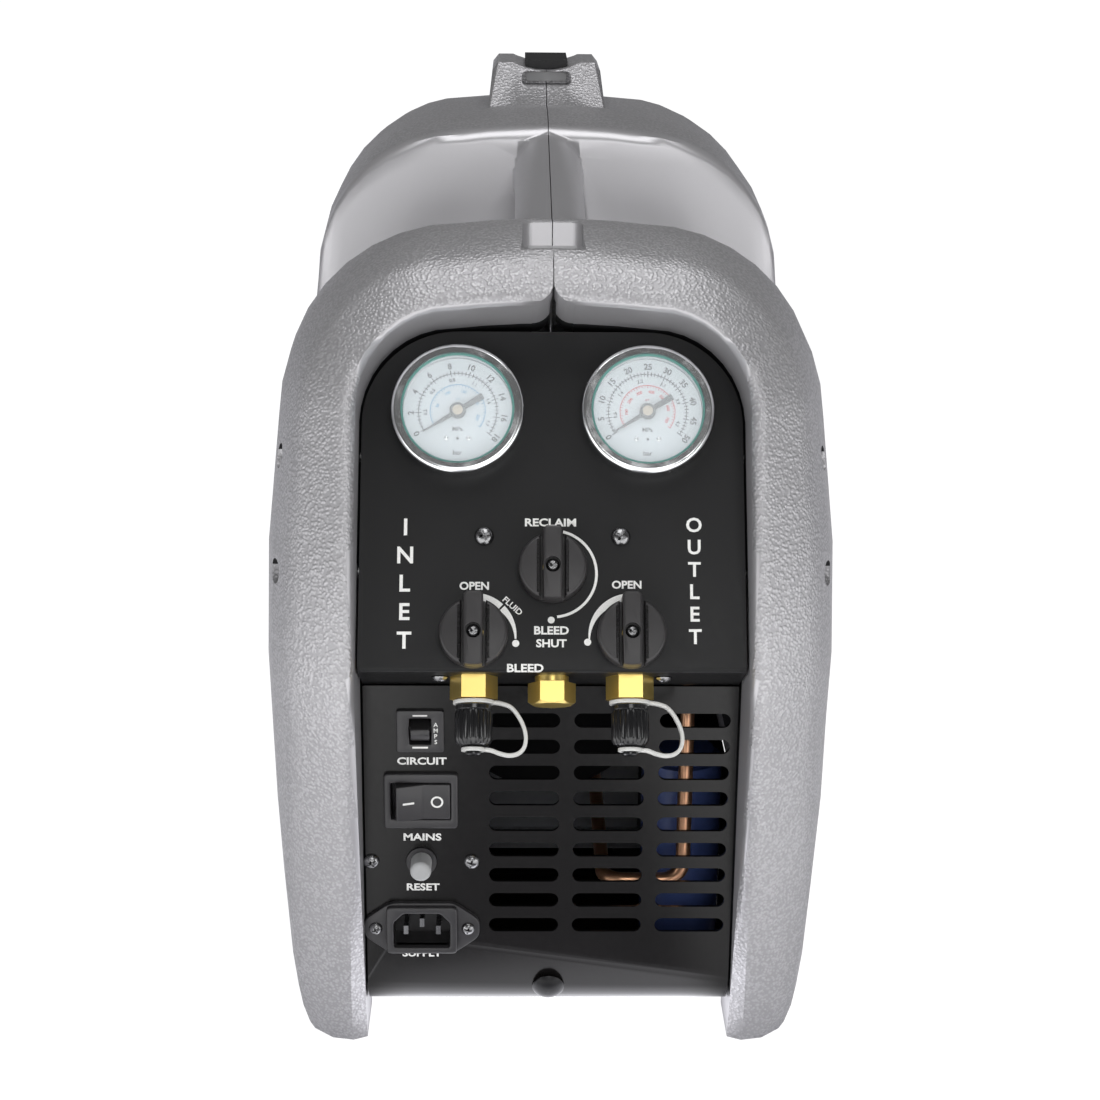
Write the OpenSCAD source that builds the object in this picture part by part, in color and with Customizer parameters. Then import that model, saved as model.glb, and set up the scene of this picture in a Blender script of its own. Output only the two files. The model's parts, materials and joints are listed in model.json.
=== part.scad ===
// Portable refrigerant recovery machine, in millimetres.
// +Z is up, the control side faces -Y, and the origin is under the middle on the ground.

/* [Housing] */
// Length from the front knee to the rear rim
body_length = 490; // [480:1:505]
// Width over the flanks at their widest
body_width = 241; // [238:1:250]
// Height of the front hump
front_height = 353; // [350:1:357]
// Height of the rear hump
rear_height = 378; // [374:1:382]
// Height of the lug on the rear hump
lug_height = 396; // [392:1:400]
// Width of the lug
lug_width = 56; // [50:1:62]
// Height of the hand valley's floor
valley_floor = 266; // [258:1:272]
// Wall of the moulded shells
shell_wall = 4; // [3:0.5:5]
// Gap between the shells at the seam
seam_gap = 0.4; // [0.2:0.1:0.8]
// Width of the handle bar
handle_width = 32; // [28:1:36]
// Height of the handle bar's section
handle_depth = 30; // [26:1:34]
// Width of the clip pockets on the seam
pocket_width = 25.6; // [22:0.2:30]

/* [Openings in the housing] */
// Width of the front and rear openings
opening_width = 160; // [158:1:164]
// Height of the front opening's top
opening_top = 327.5; // [325:0.5:330]
// Height of the rear opening's top
rear_opening_top = 340; // [334:1:344]
// Radius of the openings' top corners
opening_radius = 38; // [34:1:42]
// How far the foot stands behind the knee
foot_setback = 41; // [36:1:46]
// How far the opening's top stands behind the knee
top_setback = 58; // [54:1:62]

/* [Panels] */
// Sheet thickness of the panels and the pan
sheet = 1.6; // [1.2:0.1:2]
// Gap between the panels' edges and the shells
panel_clearance = 1; // [0.6:0.1:1.5]
// Lower front panel behind the knee
panel_setback = 38; // [36:1:42]
// How far the control panel overhangs the lower panel
step_overhang = 28; // [26:1:30]
// Height of the control panel's lower edge
step_height = 187.5; // [185:0.5:190]
// Lean of the control panel from the vertical, in degrees
panel_tilt = 30; // [28:0.5:32]
// Length of the control panel up its slope
panel_length = 143.5; // [141:0.5:145]
// Underside of the base pan above the ground
pan_height = 24; // [20:1:28]
// Outer radius of the bend under the lower panel
pan_bend = 30; // [26:1:34]

/* [Vent slots] */
// Length of a front slot
slot_length = 30; // [26:0.5:32]
// Height of every slot
slot_height = 6.5; // [5:0.25:8]
// Rows of front slots
slot_rows = 9; // [6:1:9]
// Spacing of the front slots across
slot_pitch_x = 36; // [35:0.5:37]
// Spacing of the slots up the panels
slot_pitch_z = 12; // [10:0.5:12.5]
// Middle of the lowest, leftmost front slot
slot_first = [-11, 58.6];

/* [Valves and ports] */
// Side valves to each side of the middle
valve_x = 32; // [30:0.5:34]
// Side valves above the panel's lower edge
valve_up = 15; // [13:0.5:16]
// Middle valve above the panel's lower edge
mode_up = 42; // [38:0.5:44]
// Diameter of a knob's skirt
knob_diameter = 27.8; // [26:0.2:30]
// Height of a knob's skirt
knob_skirt = 9.6; // [8:0.2:10.4]
// Height of a knob's grip bar over the panel
knob_height = 12.8; // [12.4:0.2:16]
// Width of a knob's grip bar
knob_bar = 7.8; // [7.4:0.2:9]
// How far the grip bar points past the skirt
knob_pointer = 2.2; // [1:0.2:4]
// Width of the grooves beside a knob's grip bar
knob_groove = 1.1; // [0.8:0.1:1.5]
// Diameter of a valve stem
stem_diameter = 8; // [7:0.5:9]
// Running clearance of stems and spindles, on the radius
running_clearance = 0.06; // [0.03:0.01:0.09]
// Ports behind the control panel's face
port_depth = 14; // [13:0.5:15]
// Size across the flats of the port hexagons
port_hex = 17; // [15:0.5:18]
// Height of the port hexagons
port_hex_height = 9.5; // [8:0.5:11]
// Diameter of the flare nozzles
nozzle_diameter = 11; // [10:0.2:11.4]
// Length of the flare nozzles
nozzle_length = 15; // [13:0.5:17]
// Diameter of the dust caps
cap_diameter = 15.6; // [15:0.2:17]
// Clearance between pieces that turn beside each other
turning_gap = 0.35; // [0.3:0.05:0.5]

/* [Gauges] */
// Gauges to each side of the middle
gauge_x = 39.2; // [38:0.2:40]
// Gauges above the panel's lower edge
gauge_up = 108; // [106:0.5:109]
// Diameter of a gauge's bezel
bezel_diameter = 55; // [52:0.5:56]
// Height of the bezel over the panel
bezel_height = 10; // [9:0.5:12]
// Diameter of the dial's view
dial_diameter = 47; // [44:0.5:48]
// Diameter of the gauge's can
can_diameter = 50; // [49:0.5:51]
// Depth of the can behind the panel
can_depth = 24; // [20:1:26]
// Angle of the needle at rest, counter-clockwise from the right
needle_rest = 212; // [205:1:220]

/* [Electrics] */
// Middle of the electric controls, left of the centre
control_x = -55; // [-56:0.5:-54]
// Height of the mains inlet
inlet_z = 58; // [57:0.5:60]
// Height of the reset button
reset_z = 89; // [88:0.5:90]
// Height of the power switch
power_z = 118; // [117:0.5:119]
// Height of the breaker
breaker_z = 150; // [149:0.5:152]
// Spacing of the inlet's screws
inlet_screws = 40; // [39:0.5:41]
// Spacing of the reset switch's screws
reset_screws = 43; // [42:0.5:44]
// Width and height of the power switch's bezel
power_bezel = [31.6, 25.4];
// Width and height of the breaker's frame
breaker_frame = [20, 19];
// Diameter of the reset button
reset_diameter = 9; // [8:0.2:10]
// How far the reset button stands out
reset_out = 11; // [9:0.5:13]

/* [Machinery] */
// Height of the motor's shaft
shaft_z = 122; // [116:1:128]
// Diameter of the motor
motor_diameter = 112; // [100:1:120]
// Length of the motor
motor_length = 118; // [105:1:125]
// Diameter of the motor's shaft
shaft_diameter = 10; // [8:0.5:12]
// Diameter of the fan
fan_diameter = 136; // [126:1:140]
// Diameter of the copper lines
line_diameter = 6.4; // [6:0.1:8]
// Diameter of the run capacitor
capacitor_diameter = 36; // [32:1:38]
// Height of the run capacitor
capacitor_height = 92; // [80:1:100]

/* [Hidden] */
$fn = 48;
front_y = -body_length / 2;
rear_y = body_length / 2;
half_width = body_width / 2;
half_seam = seam_gap / 2;
half_opening = opening_width / 2;
half_panel = half_opening - panel_clearance;
lower_y = front_y + panel_setback;
step_y = lower_y - step_overhang;
pan_top = pan_height + sheet;
knee_z = 188;
knee_ease = 1.4;
wide_z = 180;
bite = 1;

// Housing form
rim_nose = 3;
band = 23;
flank_tuck = 3.5;
flank_step = 2;
flank_step_low = 262;
flank_step_high = 286;
crown = 2.2;
foot_round = 12;
tunnel_wall = 3.5;
tunnel_behind = 10;
foot_tunnel = 36;
tunnel_overrun = 8;
notch_radius = 8.5;
notch_length = 100;
rear_recess = 30;
rear_panel_y = rear_y - rear_recess;
rear_lean = 14;
valley_front = front_y + 126;
valley_rear = front_y + 253;
flank_at = [0, 0.015, 0.05, 0.14, 0.28, 0.42, 0.54, 0.65, 0.82, 1];
arc_steps = 9;
top_steps = 3;
flank_rows = len(flank_at);
ring_rows = flank_rows + arc_steps + top_steps;

function smooth(t) = let (c = min(max(t, 0), 1)) c * c * (3 - 2 * c);

// Setback of the front rim at height z, zero at the knee
function front_profile(z) = z < knee_z
    ? foot_setback * pow((knee_z - z) / knee_z, knee_ease)
    : top_setback * pow((min(z, opening_top) - knee_z) / (opening_top - knee_z), knee_ease);

// Setback of the rear rim at height z
function rear_profile(z) = rear_lean * pow(abs(z - knee_z) / knee_z, 2);

// Depth of the front tunnel's rear edge, behind both panels
function tunnel_end(z) = max(
    lower_y + foot_tunnel,
    step_y + (z - step_height) * tan(panel_tilt) + tunnel_behind / cos(panel_tilt));

// A station is [kind, depth, share, width, foot, top, radius, flank]
// Kind 0 counts back from the front rim, 1 forward from the rear rim, 2 is a plain depth,
// 3 is the front tunnel's end. Share is how much of the rim's profile the depth follows.
function station_y(s, z) =
    s[0] == 0 ? front_y + s[2] * front_profile(z) + s[1]
    : s[0] == 1 ? rear_y - s[2] * rear_profile(z) - s[1]
    : s[0] == 2 ? s[1]
    : tunnel_end(z) + s[1];

function flank_x(s, z) = let (corner_z = s[6 - 1] - s[6])
    z < wide_z
    ? s[3] - (s[3] - s[4]) * pow((wide_z - z) / wide_z, 2)
        - s[7] * foot_round / 3 * pow(max(0, foot_round - z) / foot_round, 2)
    : s[3] - s[7] * (flank_tuck * pow((z - wide_z) / max(1, corner_z - wide_z), 2)
        + flank_step * smooth((z - flank_step_low) / (flank_step_high - flank_step_low)));

// Point i of a station's outline, from the foot up the flank, round the corner to the seam
function outline_point(s, i, seam_x, low_z) =
    let (
        top = s[5] - crown,
        corner_z = s[5] - s[6],
        corner_r = s[6] - crown,
        corner_x = flank_x(s, corner_z))
    i < flank_rows
    ? let (z = low_z + (corner_z - low_z) * flank_at[i]) [flank_x(s, z), z]
    : i < flank_rows + arc_steps
    ? let (a = 90 * (i - flank_rows + 1) / arc_steps)
        [corner_x - s[6] * (1 - cos(a)), corner_z + corner_r * sin(a)]
    : let (q = (i - flank_rows - arc_steps + 1) / top_steps)
        [(corner_x - s[6]) * (1 - q) + seam_x * q, top + crown * (1 - pow(1 - q, 2))];

function ring(s, seam_x, low_z) = concat(
    [for (i = [0:ring_rows - 1])
        let (p = outline_point(s, i, seam_x, low_z)) [p[0], station_y(s, p[1]), p[1]]],
    [[seam_x, station_y(s, low_z), low_z]]);

// Closed solid through a list of rings, each counter-clockwise seen from the front
module skin(rings) {
    n = len(rings[0]);
    last = (len(rings) - 1) * n;
    sides = [for (j = [0:len(rings) - 2], i = [0:n - 1])
        let (a = j * n + i, b = j * n + (i + 1) % n)
        each [[a, b, b + n], [a, b + n, a + n]]];
    front_cap = [for (i = [0:n - 3]) [n - 1, i + 1, i]];
    rear_cap = [for (i = [0:n - 3]) [last + n - 1, last + i, last + i + 1]];
    polyhedron(points = [for (r = rings) each r], faces = concat(sides, front_cap, rear_cap));
}

// Half of the housing through a list of stations, on the right of the seam
module loft(stations, seam_x, low_z) {
    skin([for (s = stations) ring(s, seam_x, low_z)]);
}

// Outer stations, front to rear
band_edge = half_opening + band;
top_rise = front_height - opening_top;
outer_front = [
    [0, rim_nose, 1, half_opening, half_opening, opening_top, opening_radius, 0],
    [0, 0, 1, half_opening + 3, half_opening + 3, opening_top + 2.5, opening_radius + 3, 0],
    [0, 2, 1, half_opening + 8, half_opening + 7, opening_top + 6, opening_radius + 8, 0.2],
    [0, 10, 1, band_edge, band_edge - 6, opening_top + 0.6 * top_rise, opening_radius + 19, 0.5],
    [0, 19, 1, band_edge + 7, band_edge - 2, opening_top + 0.78 * top_rise, 65, 0.8],
    [0, 34, 1, half_width - 4.5, band_edge + 1, opening_top + 0.92 * top_rise, 73, 1],
    [0, 55, 0.85, half_width - 0.7, band_edge + 3, front_height, 77, 1]];
outer_valley = [
    [2, valley_front - 6, 0, half_width, band_edge + 3, front_height, 77, 1],
    [2, valley_front, 0, half_width, band_edge + 3, front_height - 2.5, 76, 1],
    [2, valley_front + 5, 0, half_width, band_edge + 3, front_height - 9, 72, 1],
    [2, valley_front + 11, 0, half_width, band_edge + 3, valley_floor + 34, 45, 1],
    [2, valley_front + 20, 0, half_width, band_edge + 3, valley_floor + 10, 30, 1],
    [2, valley_front + 35, 0, half_width, band_edge + 3, valley_floor + 1, 24, 1],
    [2, (valley_front + valley_rear) / 2, 0, half_width, band_edge + 3, valley_floor, 24, 1],
    [2, valley_rear - 36, 0, half_width, band_edge + 3, valley_floor + 1, 24, 1],
    [2, valley_rear - 21, 0, half_width - 0.2, band_edge + 3, valley_floor + 10, 30, 1],
    [2, valley_rear - 12, 0, half_width - 0.4, band_edge + 3, valley_floor + 39, 48, 1.2],
    [2, valley_rear - 7, 0, half_width - 0.6, band_edge + 3, rear_height - 17, 66, 1.4],
    [2, valley_rear - 6.5, 0, half_width - 0.7, band_edge + 3, rear_height - 9, 68, 1.4],
    [2, valley_rear - 4, 0, half_width - 0.8, band_edge + 3, rear_height - 4.5, 70, 1.4],
    [2, valley_rear + 3, 0, half_width - 1, band_edge + 3, rear_height - 2, 71, 1.4],
    [2, valley_rear + 35, 0, half_width - 1.2, band_edge + 3, rear_height, 72, 1.2],
    [2, valley_rear + 110, 0, half_width - 1.5, band_edge + 3, rear_height - 2, 72, 1]];
outer_rear = [
    [1, 72, 1, half_width - 3.5, band_edge + 3, rear_height - 5, 70, 1],
    [1, 38, 1, half_width - 9, band_edge, rear_height - 8.5, 62, 1],
    [1, 20, 1, half_width - 16, band_edge - 3, rear_height - 13, 54, 0.8],
    [1, 10, 1, band_edge - 4, band_edge - 7, rear_height - 18, 48, 0.5],
    [1, 2, 1, half_opening + 8, half_opening + 7, rear_opening_top + 8, 44, 0.2],
    [1, 0, 1, half_opening + 3, half_opening + 3, rear_opening_top + 2.5, opening_radius + 3, 0],
    [1, rim_nose, 1, half_opening, half_opening, rear_opening_top, opening_radius, 0]];

// A station moved to the inside of the wall: drop lowers its top, shift moves it along the body
function inside(s, drop, shift) = [
    s[0], s[1] + shift, s[2], s[3] - shell_wall, s[4] - shell_wall, s[5] - drop,
    max(8, s[6] - shell_wall), s[7]];

cavity = concat(
    [inside(outer_front[3], shell_wall + 1, shell_wall + 2),
     inside(outer_front[4], shell_wall, shell_wall + 0.5),
     inside(outer_front[5], shell_wall, shell_wall - 1),
     inside(outer_front[6], shell_wall, 1)],
    [inside(outer_valley[0], shell_wall, -shell_wall + 1),
     inside(outer_valley[1], shell_wall, -shell_wall),
     inside(outer_valley[2], shell_wall - 1, -shell_wall - 0.3),
     inside(outer_valley[3], shell_wall - 2, -shell_wall - 0.3),
     inside(outer_valley[4], shell_wall, -shell_wall + 1),
     inside(outer_valley[5], shell_wall, -1),
     inside(outer_valley[6], shell_wall, 0),
     inside(outer_valley[7], shell_wall, 1),
     inside(outer_valley[8], shell_wall, shell_wall - 1),
     inside(outer_valley[9], shell_wall - 2, shell_wall + 0.3),
     inside(outer_valley[10], shell_wall, shell_wall + 1),
     inside(outer_valley[12], shell_wall + 1, shell_wall),
     inside(outer_valley[13], shell_wall, shell_wall),
     inside(outer_valley[14], shell_wall, 0),
     inside(outer_valley[15], shell_wall, 0)],
    [inside(outer_rear[0], shell_wall, 1),
     inside(outer_rear[1], shell_wall, shell_wall - 1),
     inside(outer_rear[2], shell_wall, shell_wall + 0.5),
     inside(outer_rear[3], shell_wall + 1, shell_wall + 2)]);

// Front opening and the wall round it, which lean down towards the control panel's top edge
panel_top_y = step_y + panel_length * sin(panel_tilt);
panel_top_z = step_height + panel_length * cos(panel_tilt);
rim_top_y = front_y + top_setback + rim_nose;
ceiling_slope = (opening_top - panel_top_z - 1.5 * crown - panel_clearance) / (panel_top_y - rim_top_y);
ceiling_end = (opening_top - ceiling_slope * (tunnel_end(opening_top)
    - opening_top * tan(panel_tilt) - rim_top_y)) / (1 + ceiling_slope * tan(panel_tilt));
ceiling_drop = opening_top - ceiling_end;
function rim_at(kind, depth, share, grow, drop) = [
    kind, depth, share, half_opening + grow, half_opening + grow,
    opening_top + grow - drop, opening_radius + grow, 0];
front_opening = [
    rim_at(2, front_y - 5, 0, 0, 0),
    rim_at(0, rim_nose, 1, 0, 0),
    rim_at(3, 0, 0, 0, ceiling_drop),
    rim_at(3, tunnel_overrun, 0, 0, ceiling_drop + tunnel_overrun * ceiling_slope)];
front_tunnel = [
    rim_at(0, rim_nose + 4, 1, tunnel_wall, 0),
    rim_at(3, 0, 0, tunnel_wall, ceiling_drop)];
function rear_at(depth, share, kind, grow) = [
    kind, depth, share, half_opening + grow, half_opening + grow,
    rear_opening_top + grow, opening_radius + grow, 0];
rear_tunnel_depth = rear_recess + tunnel_behind;
rear_opening = [
    rear_at(rear_y - rear_tunnel_depth - bite, 0, 2, 0),
    rear_at(rear_y + 5, 0, 2, 0)];
rear_tunnel = [
    rear_at(rear_y - rear_tunnel_depth, 0, 2, tunnel_wall),
    rear_at(rim_nose + 4, 1, 1, tunnel_wall)];

// Frames of reference
module on_panel() {
    translate([0, step_y, step_height]) rotate([90 - panel_tilt, 0, 0]) children();
}

module on_front() {
    translate([0, lower_y, 0]) rotate([90, 0, 0]) children();
}

// A port's own frame: its axis is +Z, pointing down along the control panel
module at_port(x) {
    on_panel() translate([x, 0, -port_depth]) rotate([90, 0, 0]) children();
}

// Side screws: places on the control panel's edge as [up the slope, behind its face, head's x],
// and places on the rear panel's edge as [height, in front of it, head's x]
panel_edge_screws = [[43, 9, half_width - 12.4], [92, 9, half_width - 12.4]];
rear_edge_screws = [[110, 9, half_width - 13.3], [250, 9, half_width - 15.3]];
side_screw_shank = 4;
side_screw_head = 8;
side_screw_sink = 4.6;
boss_draft = 3;
boss_diameter = 12;

// Children with +Z along +X at each side screw of the right half; $head is the head's x
module at_side_screws() {
    for (p = panel_edge_screws) {
        $head = p[2];
        on_panel() translate([0, p[0], -p[1]]) rotate([0, 90, 0]) children();
    }
    for (p = rear_edge_screws) {
        $head = p[2];
        translate([0, rear_panel_y - p[1], p[0]]) rotate([0, 90, 0]) children();
    }
}

module side_screw_boss() {
    hull() {
        translate([0, 0, half_opening + 1.3]) cylinder(d = boss_diameter, h = 1, $fn = 16);
        translate([0, 0, half_width]) cylinder(d = boss_diameter + boss_draft, h = 1, $fn = 16);
    }
}

module side_screw_hole() {
    cylinder(d = side_screw_shank + 1, h = half_width, $fn = 12);
    hull() {
        translate([0, 0, $head - side_screw_sink]) cylinder(d = side_screw_head + 2, h = 1, $fn = 16);
        translate([0, 0, half_width]) cylinder(d = side_screw_head + 3, h = 9, $fn = 16);
    }
}

function handle_top(y) = front_height - 0.5
    + (rear_height - 5 - front_height) * (y - valley_front) / (valley_rear - valley_front);

// Half section of the handle bar at depth y, wider and deeper where it runs into the humps
handle_reach = 22;
handle_flare = 9;
handle_drop = 14;
handle_corner = 7;
handle_bite = 9;
handle_steps = 12;
function handle_ring(y) =
    let (
        end = min(y - valley_front, valley_rear - y) + handle_bite,
        flare = pow(max(0, 1 - end / handle_reach), 2),
        half = handle_width / 2 + handle_flare * flare,
        low = handle_top(y) - handle_depth - handle_drop * flare,
        round_z = handle_top(y) - half)
    concat(
        [for (a = [-90:30:0])
            [half - handle_corner * (1 - cos(a)), y, low + handle_corner * (1 + sin(a))]],
        [for (a = [0:10:80]) [half * cos(a), y, round_z + half * sin(a)]],
        [[half_seam, y, handle_top(y)], [half_seam, y, low]]);

module handle_bar() {
    first = valley_front - handle_bite;
    pitch = (valley_rear - valley_front + 2 * handle_bite) / handle_steps;
    skin([for (i = [0:handle_steps]) handle_ring(first + i * pitch)]);
}

// Lug on top of the rear hump, a block that narrows upwards
lug_front = rear_y - 170;
lug_rear = rear_y - 86;
lug_base = rear_height - 12;
lug_lean = 26;
lug_draft = 3;
lug_round = 4;
saddle_radius = 40;
saddle_depth = 4;
module lug_slab(front, rear, half, z) {
    translate([half_seam, front, z]) cube([half - half_seam, rear - front, 0.1]);
}

module lug() {
    half = lug_width / 2;
    hull() {
        lug_slab(lug_front - lug_lean / 2, lug_rear, half + lug_draft, lug_base);
        lug_slab(lug_front + lug_lean - 3, lug_rear - 9, half, lug_height - lug_round);
        lug_slab(lug_front + lug_lean, lug_rear - 12, half - lug_round + 1, lug_height - 0.1);
    }
}

module saddle(radius, from, to) {
    translate([0, to, lug_height - saddle_depth + saddle_radius])
        rotate([90, 0, 0]) cylinder(r = radius, h = to - from);
}

// Clip pockets across the seam: on the front hump and on the lug's face
front_pocket = [front_y + 78, 31, 9];
lug_pocket = [lug_height - 11, 7, lug_lean + 4];
pocket_floor = 4;
pocket_round = 5;
lug_pocket_round = 2.5;
module pocket_block() {
    translate([half_seam, front_pocket[0] - pocket_floor,
            front_height - front_pocket[2] - 2 - pocket_floor])
        cube([pocket_width / 2 + pocket_floor, front_pocket[1] + 2 * pocket_floor, 20]);
}

module pockets() {
    translate([0, front_pocket[0] + front_pocket[1] / 2, front_height - front_pocket[2] - 2])
        rounded_plate([pocket_width, front_pocket[1]], pocket_round, 30, $fn = 32);
    translate([0, lug_front + lug_pocket[2], lug_pocket[0] + lug_pocket[1] / 2]) rotate([90, 0, 0])
        rounded_plate([pocket_width, lug_pocket[1]], lug_pocket_round, lug_pocket[2] + 10, $fn = 32);
}

// Rounded corner of each half where the front rim meets the seam
module seam_notch() {
    translate([half_seam, rim_top_y, opening_top]) rotate([90 - atan(ceiling_slope), 0, 0])
        translate([0, 0, -notch_length / 2]) linear_extrude(notch_length) difference() {
            translate([-bite, -bite]) square(notch_radius + bite);
            translate([notch_radius, notch_radius]) circle(notch_radius, $fn = 32);
        }
}

// Room under the flanks between the feet, and the soles that close the feet
foot_length = 120;
sill_height = 16;
sole_thick = 5;
module sill_gap() {
    hull() {
        translate([0, front_y + foot_length, -bite])
            cube([body_width, body_length - 2 * foot_length, bite]);
        translate([0, front_y + foot_length + sill_height, 0])
            cube([body_width, body_length - 2 * (foot_length + sill_height), sill_height]);
    }
}

module soles() {
    for (y = [front_y, rear_y - foot_length - sill_height])
        translate([half_opening + bite, y, 0]) cube([half_width, foot_length + sill_height, sole_thick]);
}

module half_shell() {
    difference() {
        union() {
            difference() {
                loft(concat(outer_front, outer_valley, outer_rear), half_seam, 0);
                loft(cavity, -bite, -bite);
            }
            loft(front_tunnel, half_seam, 0);
            loft(rear_tunnel, half_seam, 0);
            intersection() {
                loft(concat(outer_front, outer_valley, outer_rear), half_seam, 0);
                union() {
                    pocket_block();
                    saddle(saddle_radius + shell_wall, lug_front - shell_wall, lug_rear + 5 + shell_wall);
                    soles();
                    at_side_screws() side_screw_boss();
                }
            }
            handle_bar();
            lug();
        }
        loft(front_opening, -bite, -bite);
        loft(rear_opening, -bite, -bite);
        pockets();
        seam_notch();
        saddle(saddle_radius, lug_front, lug_rear + 5);
        sill_gap();
        at_side_screws() side_screw_hole();
    }
}

module right_shell() {
    color("silver") half_shell();
}

module left_shell() {
    color("silver") mirror([1, 0, 0]) half_shell();
}

// Shared shapes
module slot_cut(length, height, depth) {
    cube([length - height, height, depth], center = true);
    for (x = [-1, 1])
        translate([x * (length - height) / 2, 0, 0]) cylinder(d = height, h = depth, center = true);
}

module rounded_plate(size, radius, height) {
    translate([-size[0] / 2 + radius, -size[1] / 2, 0]) cube([size[0] - 2 * radius, size[1], height]);
    translate([-size[0] / 2, -size[1] / 2 + radius, 0]) cube([size[0], size[1] - 2 * radius, height]);
    for (x = [-1, 1], y = [-1, 1])
        translate([x * (size[0] / 2 - radius), y * (size[1] / 2 - radius), 0])
            cylinder(r = radius, h = height);
}

// Pan-head screw with its head standing on z = 0 and its shank below
module pan_screw(head, height, shank, length) {
    cylinder(d = head, h = height * 0.55);
    translate([0, 0, height * 0.55]) cylinder(d1 = head, d2 = head * 0.72, h = height * 0.45);
    translate([0, 0, -length]) cylinder(d = shank, h = length);
}

function unit(v) = v / norm(v);
function across(d) = unit(abs(d[0]) < 0.9 ? cross(d, [1, 0, 0]) : cross(d, [0, 1, 0]));

module placed(x, y, z, at) {
    multmatrix([
        [x[0], y[0], z[0], at[0]],
        [x[1], y[1], z[1], at[1]],
        [x[2], y[2], z[2], at[2]],
        [0, 0, 0, 1]]) children();
}

// Round line through points that turn at right angles, with bends of one radius
module line_run(points, diameter, bend) {
    last = len(points) - 1;
    for (i = [0:last - 1]) {
        d = unit(points[i + 1] - points[i]);
        from = points[i] + (i > 0 ? bend : 0) * d;
        to = points[i + 1] - (i < last - 1 ? bend : 0) * d;
        placed(across(d), cross(d, across(d)), d, from) cylinder(d = diameter, h = norm(to - from));
    }
    for (i = [1:1:last - 1]) {
        a = unit(points[i] - points[i - 1]);
        b = unit(points[i + 1] - points[i]);
        placed(-b, a, cross(-b, a), points[i] + bend * (b - a))
            rotate_extrude(angle = 90) translate([bend, 0]) circle(d = diameter);
    }
}

// Rubber pad in the lug's saddle
pad_width = 22;
pad_proud = 1;
seat_gap = 0.3;
module saddle_pad() {
    color("#1c1c1e") intersection() {
        saddle(saddle_radius - seat_gap, lug_front + lug_lean + 3, lug_rear - 15);
        translate([-pad_width / 2, lug_front, lug_height - saddle_depth - bite])
            cube([pad_width, lug_rear - lug_front, saddle_depth + bite + pad_proud]);
    }
}

// Clips that bridge the seam on the floors of the two pockets
clip_margin = 2.5;
clip_thick = 1.6;
module seam_clips() {
    color("#6f7073") {
        translate([-pocket_width / 2 + clip_margin, front_pocket[0] + clip_margin,
                front_height - front_pocket[2] - 2])
            cube([pocket_width - 2 * clip_margin, front_pocket[1] - 2 * clip_margin, clip_thick]);
        translate([-pocket_width / 2 + clip_margin, lug_front + lug_pocket[2] - clip_thick,
                lug_pocket[0] + clip_margin / 2])
            cube([pocket_width - 2 * clip_margin, clip_thick, lug_pocket[1] - clip_margin]);
    }
}

module side_screws() {
    color("#3a3a3c") for (side = [0, 1])
        mirror([side, 0, 0]) at_side_screws()
            translate([0, 0, $head - side_screw_sink])
                pan_screw(side_screw_head, 3, side_screw_shank,
                    $head - side_screw_sink - half_panel + 2 * sheet);
}

// Base pan: slotted front wall, bend, floor and rear lip, drawn from the side
wall_top = step_height - (step_overhang + sheet) * tan(panel_tilt) - seat_gap;
rear_lip = 26;
bolt_head = 14;
bolt_shank = 6;
slot_columns = 3;

module pan_section() {
    bend_at = [lower_y + pan_bend, pan_height + pan_bend];
    translate([lower_y, bend_at[1]]) square([sheet, wall_top - bend_at[1]]);
    translate([bend_at[0], pan_height]) square([rear_panel_y - sheet - bend_at[0], sheet]);
    translate([rear_panel_y - 2 * sheet, pan_height]) square([sheet, rear_lip]);
    difference() {
        intersection() {
            translate(bend_at) circle(pan_bend);
            translate([lower_y, pan_height]) square(pan_bend);
        }
        translate(bend_at) circle(pan_bend - sheet);
    }
}

module at_base_bolt() {
    translate([0, lower_y + pan_bend, pan_height + pan_bend]) rotate([135, 0, 0])
        translate([0, 0, pan_bend]) children();
}

module base_pan() {
    color("#39393c") difference() {
        translate([-half_panel, 0, 0]) rotate([90, 0, 90]) linear_extrude(2 * half_panel) pan_section();
        on_front() {
            for (column = [0:slot_columns - 1], row = [0:slot_rows - 1])
                translate([slot_first[0] + column * slot_pitch_x, slot_first[1] + row * slot_pitch_z, 0])
                    slot_cut(slot_length, slot_height, 4 * sheet);
            translate([control_x, inlet_z, 0])
                cube([inlet_body[0] + 1, inlet_body[1] + 1, 4 * sheet], center = true);
            translate([control_x, power_z, 0])
                cube([power_body[0] + 1, power_body[1] + 1, 4 * sheet], center = true);
            translate([control_x, breaker_z, 0])
                cube([breaker_body_size[0] + 1, breaker_body_size[1] + 1, 4 * sheet], center = true);
            translate([control_x, reset_z, 0]) cylinder(d = reset_collar + 0.6, h = 4 * sheet, center = true);
            for (x = [-1, 1]) {
                translate([control_x + x * inlet_screws / 2, inlet_z, 0])
                    cylinder(d = small_screw + 0.4, h = 4 * sheet, center = true);
                translate([control_x + x * reset_screws / 2, reset_z, 0])
                    cylinder(d = small_screw + 0.4, h = 4 * sheet, center = true);
            }
        }
        at_base_bolt() cylinder(d = bolt_shank + 0.6, h = 6 * sheet, center = true);
    }
}

module base_bolt() {
    color("#2a2a2c") at_base_bolt() {
        translate([0, 0, 0.6]) intersection() {
            cylinder(d = bolt_head, h = 5);
            translate([0, 0, -bolt_head / 2 + 1.4]) sphere(d = bolt_head * 1.28);
        }
        translate([0, 0, -8]) cylinder(d = bolt_shank, h = 9);
    }
}

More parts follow.
